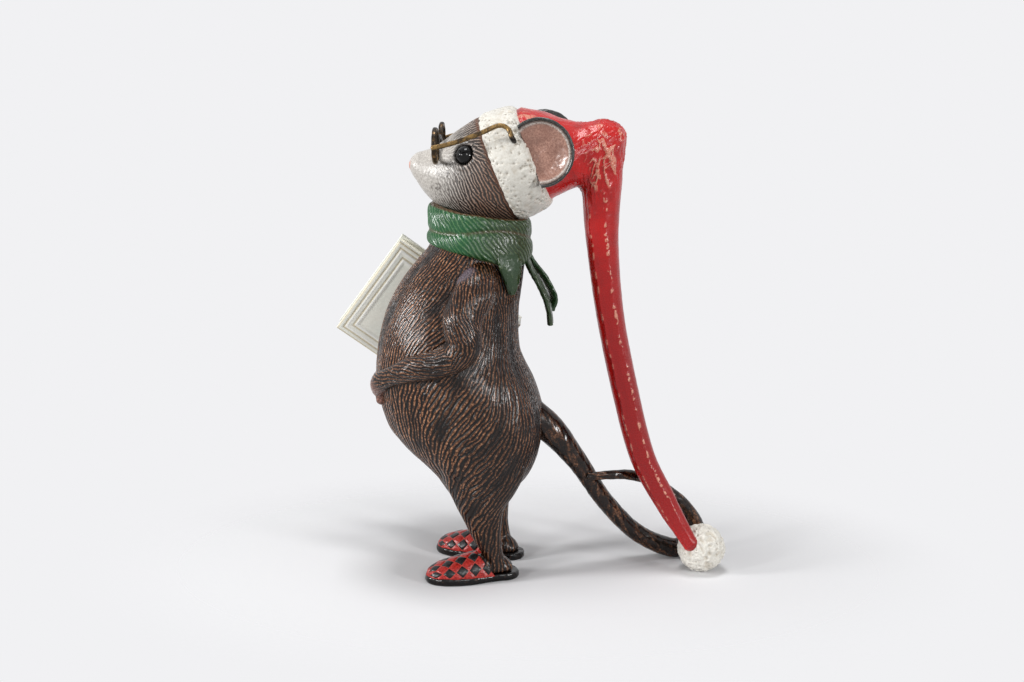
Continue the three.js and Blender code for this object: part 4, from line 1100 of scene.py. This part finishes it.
def pitted(mesh, seed, lump, size, pits, pit_size, depth):
    """Lumps and small dents over a painted surface; marks the hollows and the dents, which the
    paint darkens as painted shade.
    """
    points, normals = read(mesh)
    rng = np.random.default_rng(seed)
    lumps = 0.8 - 1.8 * np.abs(Noise(seed)(points, size))
    lumps = lumps + 0.6 * Noise(seed + 1)(points, size * 0.5)
    chosen = points[rng.choice(len(points), pits, replace=False)]
    dark = np.zeros(len(points))
    for where, radius in zip(chosen, rng.uniform(0.6, 1.3, pits) * pit_size):
        close = np.nonzero(np.abs(points - where).max(1) < 2.5 * radius)[0]
        dent = bump(distance(points[close], where), 0, radius) * min(1, radius / pit_size)
        dark[close] = np.maximum(dark[close], dent)
    raised(mesh, points, normals, lump * (lumps - 0.4) - depth * dark)
    # Painted shade in the dents and in the hollows between the lumps.
    mark(mesh, pit=0.6 * smooth(0.5, 0.95, dark), hollow=0.5 * smooth(0.2, -0.8, lumps))


def build_cuff():
    angle, turn = ring_angles(*detail((160, 40), (600, 150)))
    out = X_AXIS * np.cos(angle) + CUFF_UP * np.sin(angle)
    middle = CUFF_RADIUS - CUFF_TAPER / 2 - CUFF_DEPTH / 2
    along = unit(CUFF_AXIS * CUFF_WIDTH - out * CUFF_TAPER)
    mesh = skin(*closed_ring(
        CUFF_CENTRE + out * middle + along * CUFF_WIDTH / 2 * bend(np.cos(turn), 3)
        + out * CUFF_DEPTH / 2 * bend(np.sin(turn), 3)))
    pitted(mesh, 61, 0.09, 1.6, 950, 0.48, 0.42)
    piece("cuff_white", mesh, "hat_cuff", WHITE)


def build_pompom():
    levels, sides = detail((80, 100), (200, 260))
    rise = np.linspace(0, np.pi, levels + 2)[1:-1][:, None]
    angle = around(sides)[None, :]
    mesh = skin(*closed_loft(POMPOM + POMPOM_RADIUS * grid_of(
        np.sin(rise) * np.cos(angle), np.sin(rise) * np.sin(angle), np.cos(rise))))
    pitted(mesh, 73, 0.42, 1.5, 120, 0.35, 0.25)
    stood_on_floor(mesh)
    piece("pompom_white", mesh, "hat_pompom", WHITE)


# Ears

def ear_profile():
    """Radius and height of the dish from the middle of its back, over the lip, to its hollow."""
    lip = EAR_THICKNESS / 3
    share = np.linspace(0.004, 1, 44)
    outer = np.stack([EAR_RADIUS * share, -EAR_THICKNESS + EAR_DISH * share ** 3], axis=1)
    turn = np.linspace(-0.2, np.pi * 0.9, 14)[:, None]
    edge = np.array([EAR_RADIUS - lip, EAR_DISH - lip]) + lip * np.concatenate(
        [np.cos(turn), np.sin(turn)], axis=1)
    inner = np.stack([(EAR_RADIUS - EAR_THICKNESS) * share,
                      (EAR_DISH - lip) * share ** 4.5], axis=1)[::-1]
    return np.concatenate([outer[:-1], edge, inner[1:]])


def build_ears():
    sides = 160
    profile = ear_profile()
    angle = around(sides)[None, :]
    r, h = profile[:, :1], profile[:, 1:]
    form = closed_loft(grid_of(r * np.cos(angle), h, r * np.sin(angle)))
    outside = on_rings(np.arange(len(profile)), sides) < EAR_BACK_ROWS
    for name, side in SIDES:
        mesh = mesh_of(*form)
        points, _ = read(mesh)
        ring = np.linalg.norm(points[:, [0, 2]], axis=1)
        mark(mesh, rim=0.9 * bump(ring, EAR_RADIUS - 1.6, 0.4),
             back=np.maximum(outside, smooth(-1.25, -0.95, ring - EAR_RADIUS)))
        turn, face = (Matrix.Rotation(-side * a, 4, "Z") for a in (EAR_TURN, math.pi / 2))
        mesh.transform(Matrix.Translation(Vector(mirrored(EAR, side))) @ (turn @ face))
        # Cut off ahead of the cuff's back face
        work = bmesh.new()
        work.from_mesh(mesh)
        cut = Vector(CUFF_CENTRE + CUFF_AXIS * (CUFF_WIDTH / 2 - 0.6))
        everything = work.verts[:] + work.edges[:] + work.faces[:]
        bmesh.ops.bisect_plane(work, geom=everything, plane_co=cut,
                               plane_no=Vector(CUFF_AXIS), clear_inner=True)
        bmesh.ops.holes_fill(work, edges=[e for e in work.edges if e.is_boundary])
        bmesh.ops.recalc_face_normals(work, faces=work.faces)
        work.to_mesh(mesh)
        work.free()
        points, normals = read(mesh)
        raised(mesh, points, normals, 0.09 * Noise(81)(points, 0.9) + 0.12 * Noise(82)(points, 3.0))
        piece(name + "_ear_dish", mesh, name + "_ear", EAR_PINK)


# Spectacles

def wire(form, seed, dent=0.07, cell=1.3):
    """A wire with small dents, and its points without them."""
    mesh = skin(*form)
    points, normals = read(mesh)
    raised(mesh, points, normals, dent * Noise(seed)(points, cell))
    return mesh, points


def build_spectacles():
    angle, turn = ring_angles(120, 20)
    out = X_AXIS * np.cos(angle) + Z_AXIS * np.sin(angle)
    squash = 1 - 0.25 * np.abs(np.cos(turn)) ** 3
    for name, side in SIDES:
        rows = [[side * x, y, z, WIRE_RADIUS] for x, y, z in TEMPLE]
        mesh, _ = wire(closed_loft(tube(rows, 110, 20, domes=5)), 91)
        points, _ = read(mesh)
        mark(mesh, dull=smooth(142, 139, points[:, 2]) * smooth(9, 12, points[:, 1]))
        piece(name + "_temple_wire", mesh, name + "_temple", BRASS)
        mesh, points = wire(closed_ring(
            mirrored(RIM, side) + out * RIM_RADIUS
            + WIRE_RADIUS * squash * (out * np.cos(turn) + Y_AXIS * np.sin(turn))), 92, 0.08, 1.2)
        mark(mesh, dull=0.9 - 0.5 * (1 - smooth(132.2, 133.6, points[:, 2])))
        piece(name + "_rim_wire", mesh, name + "_rim", BRASS)
    reach = RIM[0] - RIM_RADIUS - WIRE_RADIUS + 0.2
    rows = [[x, RIM[1], RIM[2] + rise, WIRE_RADIUS] for x, rise in (
        (-reach, 0), (-reach / 2, BRIDGE_RISE), (reach / 2, BRIDGE_RISE), (reach, 0))]
    mesh, _ = wire(closed_loft(tube(rows, 50, 20, domes=5)), 93)
    mark(mesh, dull=0.9)
    piece("bridge_wire", mesh, "bridge", BRASS)


# Scarf

def scarf_heading(p):
    return unit(grid_of(-(p[:, 1] - SCARF_Y), p[:, 0], 0)) * 0.62 - Z_AXIS * 0.78


def build_wrap():
    angle, turn = ring_angles(*detail((160, 60), (480, 150)))
    out = X_AXIS * np.cos(angle) + Y_AXIS * np.sin(angle)
    y = (SCARF_HALF_Y - SCARF_THICKNESS / 2) * np.sin(angle)
    # The roll droops and swells over the tongue, behind the left shoulder
    droop = bump(np.angle(np.exp(1j * (angle - 0.75))), 0, 0.55)
    centre = (X_AXIS * (SCARF_HALF_X - SCARF_THICKNESS / 2) * np.cos(angle)
              + Y_AXIS * (SCARF_Y + y) + Z_AXIS * (SCARF_Z - SCARF_RISE * y))
    up = bend(np.cos(turn), 3)
    face = np.maximum(np.sin(turn), 0)
    sweep = -0.15 + 0.45 * np.sin(angle + 0.9) + 0.12 * np.sin(3 * angle)
    fold = bump(up, sweep, 0.13) * (np.sin(turn) > 0)
    lower = smooth(0.25, -0.6, up - sweep) * face
    grid = (centre + Z_AXIS * (SCARF_HEIGHT / 2 * up - 2.6 * droop * smooth(0.2, -1, up))
            + out * (SCARF_THICKNESS / 2 * bend(np.sin(turn), 3) - 0.45 * face ** 6
                     - 0.5 * fold + (0.35 + 0.6 * droop) * lower - 0.2))
    mesh = skin(*closed_ring(grid))
    points, normals = read(mesh)
    wave = combed(points, normals, scarf_heading(points), 101, 1.2, 2.2, 0.2, 0.16)
    hatch = smooth(-0.2, 0.9, crest_share(wave))
    raised(mesh, points, normals, 0.16 * hatch + 0.25 * Noise(102)(points, 5.0) - 0.1)
    height, seam = (np.broadcast_to(part, grid.shape[:2] + (1,)).ravel() for part in (up, fold))
    worn = smooth(0.93, 1.0, np.abs(height)) + 0.5 * smooth(0.6, 1, seam)
    # low darkens the grooves of the hatching as painted shade, the pale tint on the hatch ridges is
    # painted highlight, and the olive tone on the back is painted shade.
    mark(mesh, ridge=hatch, low=0.6 * (1 - hatch), edge=np.clip(0.85 * worn, 0, 1),
         olive_back_shade=0.75 * smooth(-6, 12, points[:, 1] + 3 * Noise(104)(points, 3.0)))
    piece("scarf_band", mesh, "scarf_wrap", GREEN)


def build_strip(name, node, rows, facing, curl, olive_back_shade):
    levels, sides = 110, 60
    sample = spline(rows, levels)
    path, half = sample[:, :3], sample[:, 3]
    ahead = unit(np.gradient(path, axis=0))
    across = unit(np.cross(np.array(facing, float), ahead))
    out = np.cross(ahead, across)
    turn = around(sides)[None, :, None]
    side = bend(np.cos(turn), 3.2)
    thick = SCARF_END_THICKNESS / 2 * bend(np.sin(turn), 3.2)
    mesh = skin(*closed_loft(
        path[:, None] + across[:, None] * half[:, None, None] * side
        + out[:, None] * (thick + curl * (side ** 2 - 0.4))))
    points, normals = read(mesh)
    hatch = crests(points, normals, lambda p: on_rings(ahead, sides), 103, 0.8, 3.0)
    raised(mesh, points, normals, 0.12 * hatch - 0.04)
    # The hanging strips are darkened all over as painted shade, by low and the olive tone; the pale
    # tint on their hatching is painted highlight.
    mark(mesh, ridge=0.8 * hatch, low=0.5, edge=0, olive_back_shade=olive_back_shade)
    piece(name, mesh, node, GREEN)


# Tail

def build_tail():
    levels, sides = detail((260, 30), (760, 76))
    grid = tube(TAIL, levels, sides)
    mesh = skin(*closed_loft(grid))
    points, normals = read(mesh)
    ahead = on_rings(unit(np.gradient(grid.mean(1), axis=0)), sides)
    ways = unit(ahead + np.cross(ahead, normals) * 0.4)
    flecks = streaks(points, normals, lambda p: ways, Noise(111), 0.7, 1.6, 4)
    dents = Noise(112)(points, 1.4)
    raised(mesh, points, normals, 0.03 * flecks + 0.07 * dents - 0.04)
    stood_on_floor(mesh)
    mark(mesh, rub=0.5 * smooth(-0.6, 1.8, flecks + 0.6 * dents))
    piece("tail_fur", mesh, "tail", TAIL_FUR)


# Slippers

def sole_outline(count):
    """Right half from the toe to the heel on three curves, then the left half back."""
    toe, heel = -SOLE_LENGTH / 2, SOLE_LENGTH / 2
    ball, back = SOLE_WIDTH / 2, HEEL_WIDTH / 2
    ball_y, heel_y, toe_y = toe + 0.36 * SOLE_LENGTH, heel - back, toe + 0.17 * SOLE_LENGTH
    bow, toe_x, curve = 0.22 * SOLE_LENGTH, 0.72 * ball, 0.55 * back
    half = [
        [(0, toe), (toe_x, toe), (ball, toe_y), (ball, ball_y)],
        [(ball, ball_y), (ball, ball_y + bow), (back, heel_y - bow), (back, heel_y)],
        [(back, heel_y), (back, heel_y + curve), (curve, heel), (0, heel)],
    ]
    s = np.linspace(0, 1, count, endpoint=False)[:, None]
    r = 1 - s
    right = np.concatenate([r ** 3 * a + 3 * r ** 2 * s * b + 3 * r * s ** 2 * c + s ** 3 * d
                            for a, b, c, d in np.array(half, float)])
    return np.concatenate([right, [[0, heel]], right[::-1][:-1] * [-1, 1]])


def build_sole(name, side):
    outline = sole_outline(40)
    way = unit(np.roll(outline, -1, 0) - np.roll(outline, 1, 0))
    out = np.stack([way[:, 1], -way[:, 0]], axis=1)
    half = SOLE_THICKNESS / 2
    # Inset and height from the middle of the underside, round the edge, to the top
    profile = [(-3.2, 0), (-0.6, 0)]
    profile += [(-0.7 * (1 - np.cos(a)) * 0.6, half + half * np.sin(a))
                for a in np.linspace(-np.pi / 2, np.pi / 2, 11)]
    profile += [(-1.2, SOLE_THICKNESS + 0.06), (-3.2, SOLE_THICKNESS + 0.1)]
    mesh = skin(*closed_loft(np.array([
        np.column_stack([outline + out * inset, np.full(len(outline), z)])
        for inset, z in profile])))
    points, normals = read(mesh)
    lift = 0.16 * Noise(121)(points, 2.6) + 0.08 * Noise(122)(points, 1.0)
    raised(mesh, points, normals, lift * smooth(0.05, 0.5, points[:, 2]))
    stood_on_floor(mesh)
    piece(name + "_sole_black", mesh, name + "_slipper_sole",
          SOLE_BLACK, foot_matrix(side))


def build_upper(name, side):
    levels, sides = detail((60, 60), (150, 150))
    rows = np.array(UPPER, float)
    rows[:, 0] -= SOLE_LENGTH / 2
    fine = spline(rows, 500)
    slope = (UPPER_FOOT_Y - UPPER_TOP_Y) / UPPER[-1][2]

    def shape(y, angle, inset):
        half, rise = (np.maximum(np.interp(y, fine[:, 0], fine[:, n]) - inset, 0.05)
                      for n in (1, 2))
        return half * np.cos(angle), rise * np.sin(angle)

    angle = np.linspace(0, np.pi, sides)
    end = np.full(sides, float(UPPER_TOP_Y))
    for _ in range(30):
        _, z = shape(end, angle, 0)
        end = 0.5 * end + 0.5 * (UPPER_FOOT_Y - slope * z)
    grids = []
    for inset, share in ((0, np.linspace(0, 1, levels)), (UPPER_WALL, np.linspace(1, 0.25, 40))):
        y = rows[0, 0] + (end[None, :] - rows[0, 0]) * share[:, None] ** 1.6
        x, z = shape(y, angle[None, :], inset)
        grids.append(np.stack([x, y, z + FOOT_FLOOR - 0.35], axis=-1))
    outer, inner = grids
    lip = (outer[-1] + inner[0]) / 2 + [0, 0.3, 0]
    grid = np.concatenate([outer, lip[None], inner])
    mesh = skin(grid.reshape(-1, 3), grid_faces(len(grid), sides, wrap=False))
    # Two slanting counts of checks, from the way over the foot and the way along it
    along = grid[..., 1].ravel() / CHECK_PITCH
    over = (np.tile(angle, len(grid)) - np.pi / 2) * INSTEP_RADIUS / CHECK_PITCH_OVER
    a, b = along + over + 8, along - over + 8
    check = np.sin(np.pi * a) * np.sin(np.pi * b)
    mark(mesh, count_a=a, count_b=b)
    points, normals = read(mesh)
    if normals[: sides * levels, 2].mean() < 0:
        mesh.flip_normals()
        points, normals = read(mesh)
    outside = np.arange(len(points)) < sides * levels
    cushion = smooth(0.0, 0.5, np.abs(check)) * 0.16 - 0.1
    raised(mesh, points, normals, outside * (cushion + 0.08 * Noise(131)(points, 1.4)))
    piece(name + "_upper_check", mesh, name + "_slipper_upper",
          CHECKS, foot_matrix(side))


# Book

def book_matrix():
    return (Matrix.Translation(BOOK) @ Matrix.Rotation(BOOK_LEAN, 4, "Y")
            @ Matrix.Rotation(-BOOK_TILT, 4, "X"))


def board(side):
    """One cover board as a grid with beaded rules round its face: points, faces and marks."""
    step = detail(0.6, 0.28)
    ny, nz = int(BOOK_LENGTH / step), int(BOOK_HEIGHT / step)
    y = np.linspace(-BOOK_LENGTH / 2, BOOK_LENGTH / 2, ny)[:, None]
    z = np.linspace(-BOOK_HEIGHT / 2, BOOK_HEIGHT / 2, nz)[None, :]
    inset = np.minimum(BOOK_LENGTH / 2 - np.abs(y), BOOK_HEIGHT / 2 - np.abs(z))
    height = -0.35 * (1 - smooth(0, 0.5, inset))
    gold = 0.8 * bump(inset, 0.3, 0.24)
    white = np.zeros_like(inset)
    for groove in (1.8, 4.1):
        bead = groove + 0.7
        height -= 0.16 * bump(inset, groove, 0.26)
        height += 0.1 * bump(inset, bead, 0.4)
        gold = np.maximum(gold, 0.85 * bump(inset, groove, 0.24))
        # white marks the beads for a painted highlight.
        white = np.maximum(white, bump(inset, bead, 0.45))
    height -= 0.1 * smooth(5.4, 5.8, inset)
    face = grid_of(side * (BOOK_THICKNESS / 2 + height), y, z)
    inner = grid_of(side * (BOOK_THICKNESS / 2 - BOARD), y, z)
    faces = grid_faces(ny, nz, wrap=False)
    size = ny * nz
    faces += [[v + size for v in f[::-1]] for f in faces]
    index = np.arange(size).reshape(ny, nz)
    border = np.concatenate([index[:-1, 0], index[-1, :-1], index[:0:-1, -1], index[0, :0:-1]])
    after = np.roll(border, -1)
    faces += np.stack([border, border + size, after + size, after], axis=1).tolist()
    points = np.concatenate([face.reshape(-1, 3), inner.reshape(-1, 3)])
    gold, white = (np.concatenate([line.ravel(), np.zeros(size)]) for line in (gold, white))
    return points, faces, gold, white


def build_cover():
    turn = around(40)[None, :]
    z = np.linspace(-BOOK_HEIGHT / 2 + 0.2, BOOK_HEIGHT / 2 - 0.2, 60)[:, None]
    spine = closed_loft(grid_of(
        (BOOK_THICKNESS / 2 - 0.5) * bend(np.cos(turn), 4),
        BOOK_LENGTH / 2 - BOARD / 2 + 0.75 * bend(np.sin(turn), 3), z))
    bare = np.zeros(len(spine[0]))
    parts = [board(1), board(-1), (*spine, bare, bare)]
    mesh = skin(*joined(part[:2] for part in parts))
    mark(mesh, gold=np.concatenate([part[2] for part in parts]),
         white=np.concatenate([part[3] for part in parts]))
    piece("book_boards", mesh, "book_cover", CREAM, book_matrix())


def build_pages():
    length = BOOK_LENGTH - BOARD - PAGE_GAP - PAGE_MARGIN
    height = BOOK_HEIGHT - 2 * PAGE_MARGIN
    thick = BOOK_THICKNESS - 2 * BOARD - 0.1
    middle = BOOK_LENGTH / 2 - BOARD - PAGE_GAP - length / 2
    levels, sides = 40, LEAVES * 4
    x = np.linspace(-thick / 2, thick / 2, sides)
    z = np.linspace(-height / 2, height / 2, levels)[:, None]
    uneven = 1 + 0.4 * Noise(141)(grid_of(x * 3, 0, 0), 1.0)
    ridge = 0.1 * np.abs(np.sin(np.arange(sides) * np.pi / 4)) * uneven
    front = middle - length / 2 + 0.7 * (1 - (x / (thick / 2)) ** 2) - ridge
    edge = front + 0.06 * np.sin(x * 2 + z)
    grid = np.concatenate(
        [grid_of(x, edge, z), grid_of(x[::-1], middle + length / 2, z)], axis=1)
    for row, sense in ((0, -1), (-1, 1)):
        grid[row, :, 2] += sense * np.concatenate([ridge, ridge[::-1]])
    j = np.arange(sides - 1)
    lid = np.stack([j, j + 1, 2 * sides - 2 - j, 2 * sides - 1 - j], axis=1)
    faces = grid_faces(levels, 2 * sides) + lid[:, ::-1].tolist()
    faces += (lid + (levels - 1) * 2 * sides).tolist()
    mesh = skin(grid.reshape(-1, 3), faces)
    mark(mesh, gold=0.1, white=0)
    piece("book_leaves", mesh, "book_pages", PAGE, book_matrix())


build_body()
build_arm("left_arm", LEFT_ARM, (0.1, -0.1, 1), (-1, -0.14, -0.12), 1, 21)
build_arm("right_arm", RIGHT_ARM,
          (0, math.cos(BOOK_TILT), -math.sin(BOOK_TILT)), (1, -0.1, 0.05), -1, 31)
build_head()
build_eyes()
build_crown()
build_cuff()
build_pompom()
build_ears()
build_spectacles()
build_wrap()
build_strip("scarf_tongue", "scarf_fold", TONGUE, (0.8, 0.6, 0.2), -0.5, 0.7)
build_strip("scarf_leaf_left", "scarf_end_left", SCARF_LEFT_END, (0, 0.9, 0.4), 0.5, 0.8)
build_strip("scarf_leaf_right", "scarf_end_right", SCARF_RIGHT_END, (-0.3, 0.9, 0.4), 0.5, 0.6)
build_tail()
for foot_name, foot_side in SIDES:
    build_sole(foot_name, foot_side)
    build_upper(foot_name, foot_side)
build_cover()
build_pages()


# Stage, lights and camera, in metres

FLOOR_RADIUS = 0.9
FLOOR_DROP = 0.0001
FLOOR_LIGHT = (0.765, 0.765, 0.78, 1)
FLOOR_FADE = (0.05, 0.15)  # how far from the middle it starts to fade and has gone
FADE_STRETCH = (1.4, 1, 1)
BACKDROP = (241, 241, 243)
WORLD_LIGHT = 0.16
# Name, place, height aimed at, width and height, watts
LIGHTS = [
    ("front", (0.18, -0.6, 0.23), 0.08, (0.13, 0.15), 3.1),
    ("side", (0.42, -0.44, 0.25), 0.08, (0.08, 0.1), 1.0),
    ("rear", (0.38, 0.55, 0.2), 0.08, (0.08, 0.1), 1.8),
    ("fill", (0.5, 0.2, 0.3), 0.08, (0.16, 0.16), 0.8),
    ("top", (0.02, 0.0, 0.8), 0.05, (0.24, 0.24), 2.6),
]
CAMERA_LENS = 58.008
CAMERA_AZIMUTH = math.radians(93)
CAMERA_ELEVATION = math.radians(12)
CAMERA_PLACE = np.array([507.695, 38.314, 182.562])  # in the figure's frame, in millimetres


def build_floor():
    """A pale disc that fades out round the figure, so that only its shadow shows."""
    sides, rings = 96, 24
    angle = around(sides)[None, :]
    ring = (np.linspace(0.01, 1, rings) * FLOOR_RADIUS)[:, None]
    grid = grid_of(ring * np.cos(angle), ring * np.sin(angle), 0)
    points = np.concatenate([grid.reshape(-1, 3), [[0, 0, 0]]])
    floor = added("floor", skin(
        points, grid_faces(rings, sides) + fan(rings * sides, 0, sides, True)))
    floor.location.z = -FLOOR_DROP
    material = bpy.data.materials.new("floor")
    material.use_nodes = True
    m = Nodes(material.node_tree)
    place = m.add("TexCoord").outputs["Object"]
    oval = m.add("VectorMath", place, FADE_STRETCH, operation="MULTIPLY").outputs["Vector"]
    far = m.add("VectorMath", oval, operation="LENGTH").outputs["Value"]
    matt = m.add("BsdfDiffuse", FLOOR_LIGHT).outputs[0]
    clear = m.add("BsdfTransparent").outputs[0]
    m.add("OutputMaterial", m.add("MixShader", m.ramp(far, *FLOOR_FADE), matt, clear).outputs[0])
    floor.data.materials.append(material)


def build_world():
    """Plain light all round, and the backdrop's colour where it is seen or reflected."""
    world = bpy.data.worlds.new("studio")
    bpy.context.scene.world = world
    world.use_nodes = True
    m = Nodes(world.node_tree)
    light = m.add("Background", (1.0, 1.0, 1.0, 1), WORLD_LIGHT).outputs[0]
    seen = m.add("Background", BACKDROP, 1.0).outputs[0]
    path = m.add("LightPath").outputs
    share = m.math("MAXIMUM", path["Is Camera Ray"], path["Is Glossy Ray"])
    share = m.math("MAXIMUM", share, path["Is Transmission Ray"])
    m.add("OutputWorld", m.add("MixShader", share, light, seen).outputs[0])


def build_lights():
    for name, place, aim, size, power in LIGHTS:
        lamp = bpy.data.lights.new(name, "AREA")
        lamp.shape = "RECTANGLE"
        lamp.size, lamp.size_y = size
        lamp.energy = power
        thing = added(name, lamp)
        thing.location = Vector(place)
        ahead = Vector((0, 0, aim)) - Vector(place)
        thing.rotation_euler = ahead.to_track_quat("-Z", "Y").to_euler()


def build_camera():
    level = math.cos(CAMERA_ELEVATION)
    back = np.array([math.sin(CAMERA_AZIMUTH) * level, -math.cos(CAMERA_AZIMUTH) * level,
                     math.sin(CAMERA_ELEVATION)])
    right = unit(np.cross(Z_AXIS, back))
    up = np.cross(back, right)
    spot = (CAMERA_PLACE + SHIFT) * MM
    camera = bpy.data.cameras.new("camera")
    camera.lens = CAMERA_LENS
    camera.sensor_width = 36
    camera.clip_start = 0.01
    thing = added("camera", camera)
    thing.matrix_world = Matrix(
        [[right[n], up[n], back[n], spot[n]] for n in range(3)] + [[0, 0, 0, 1]])
    bpy.context.scene.camera = thing


build_floor()
build_world()
build_lights()
build_camera()
bpy.context.scene.view_settings.view_transform = "Standard"
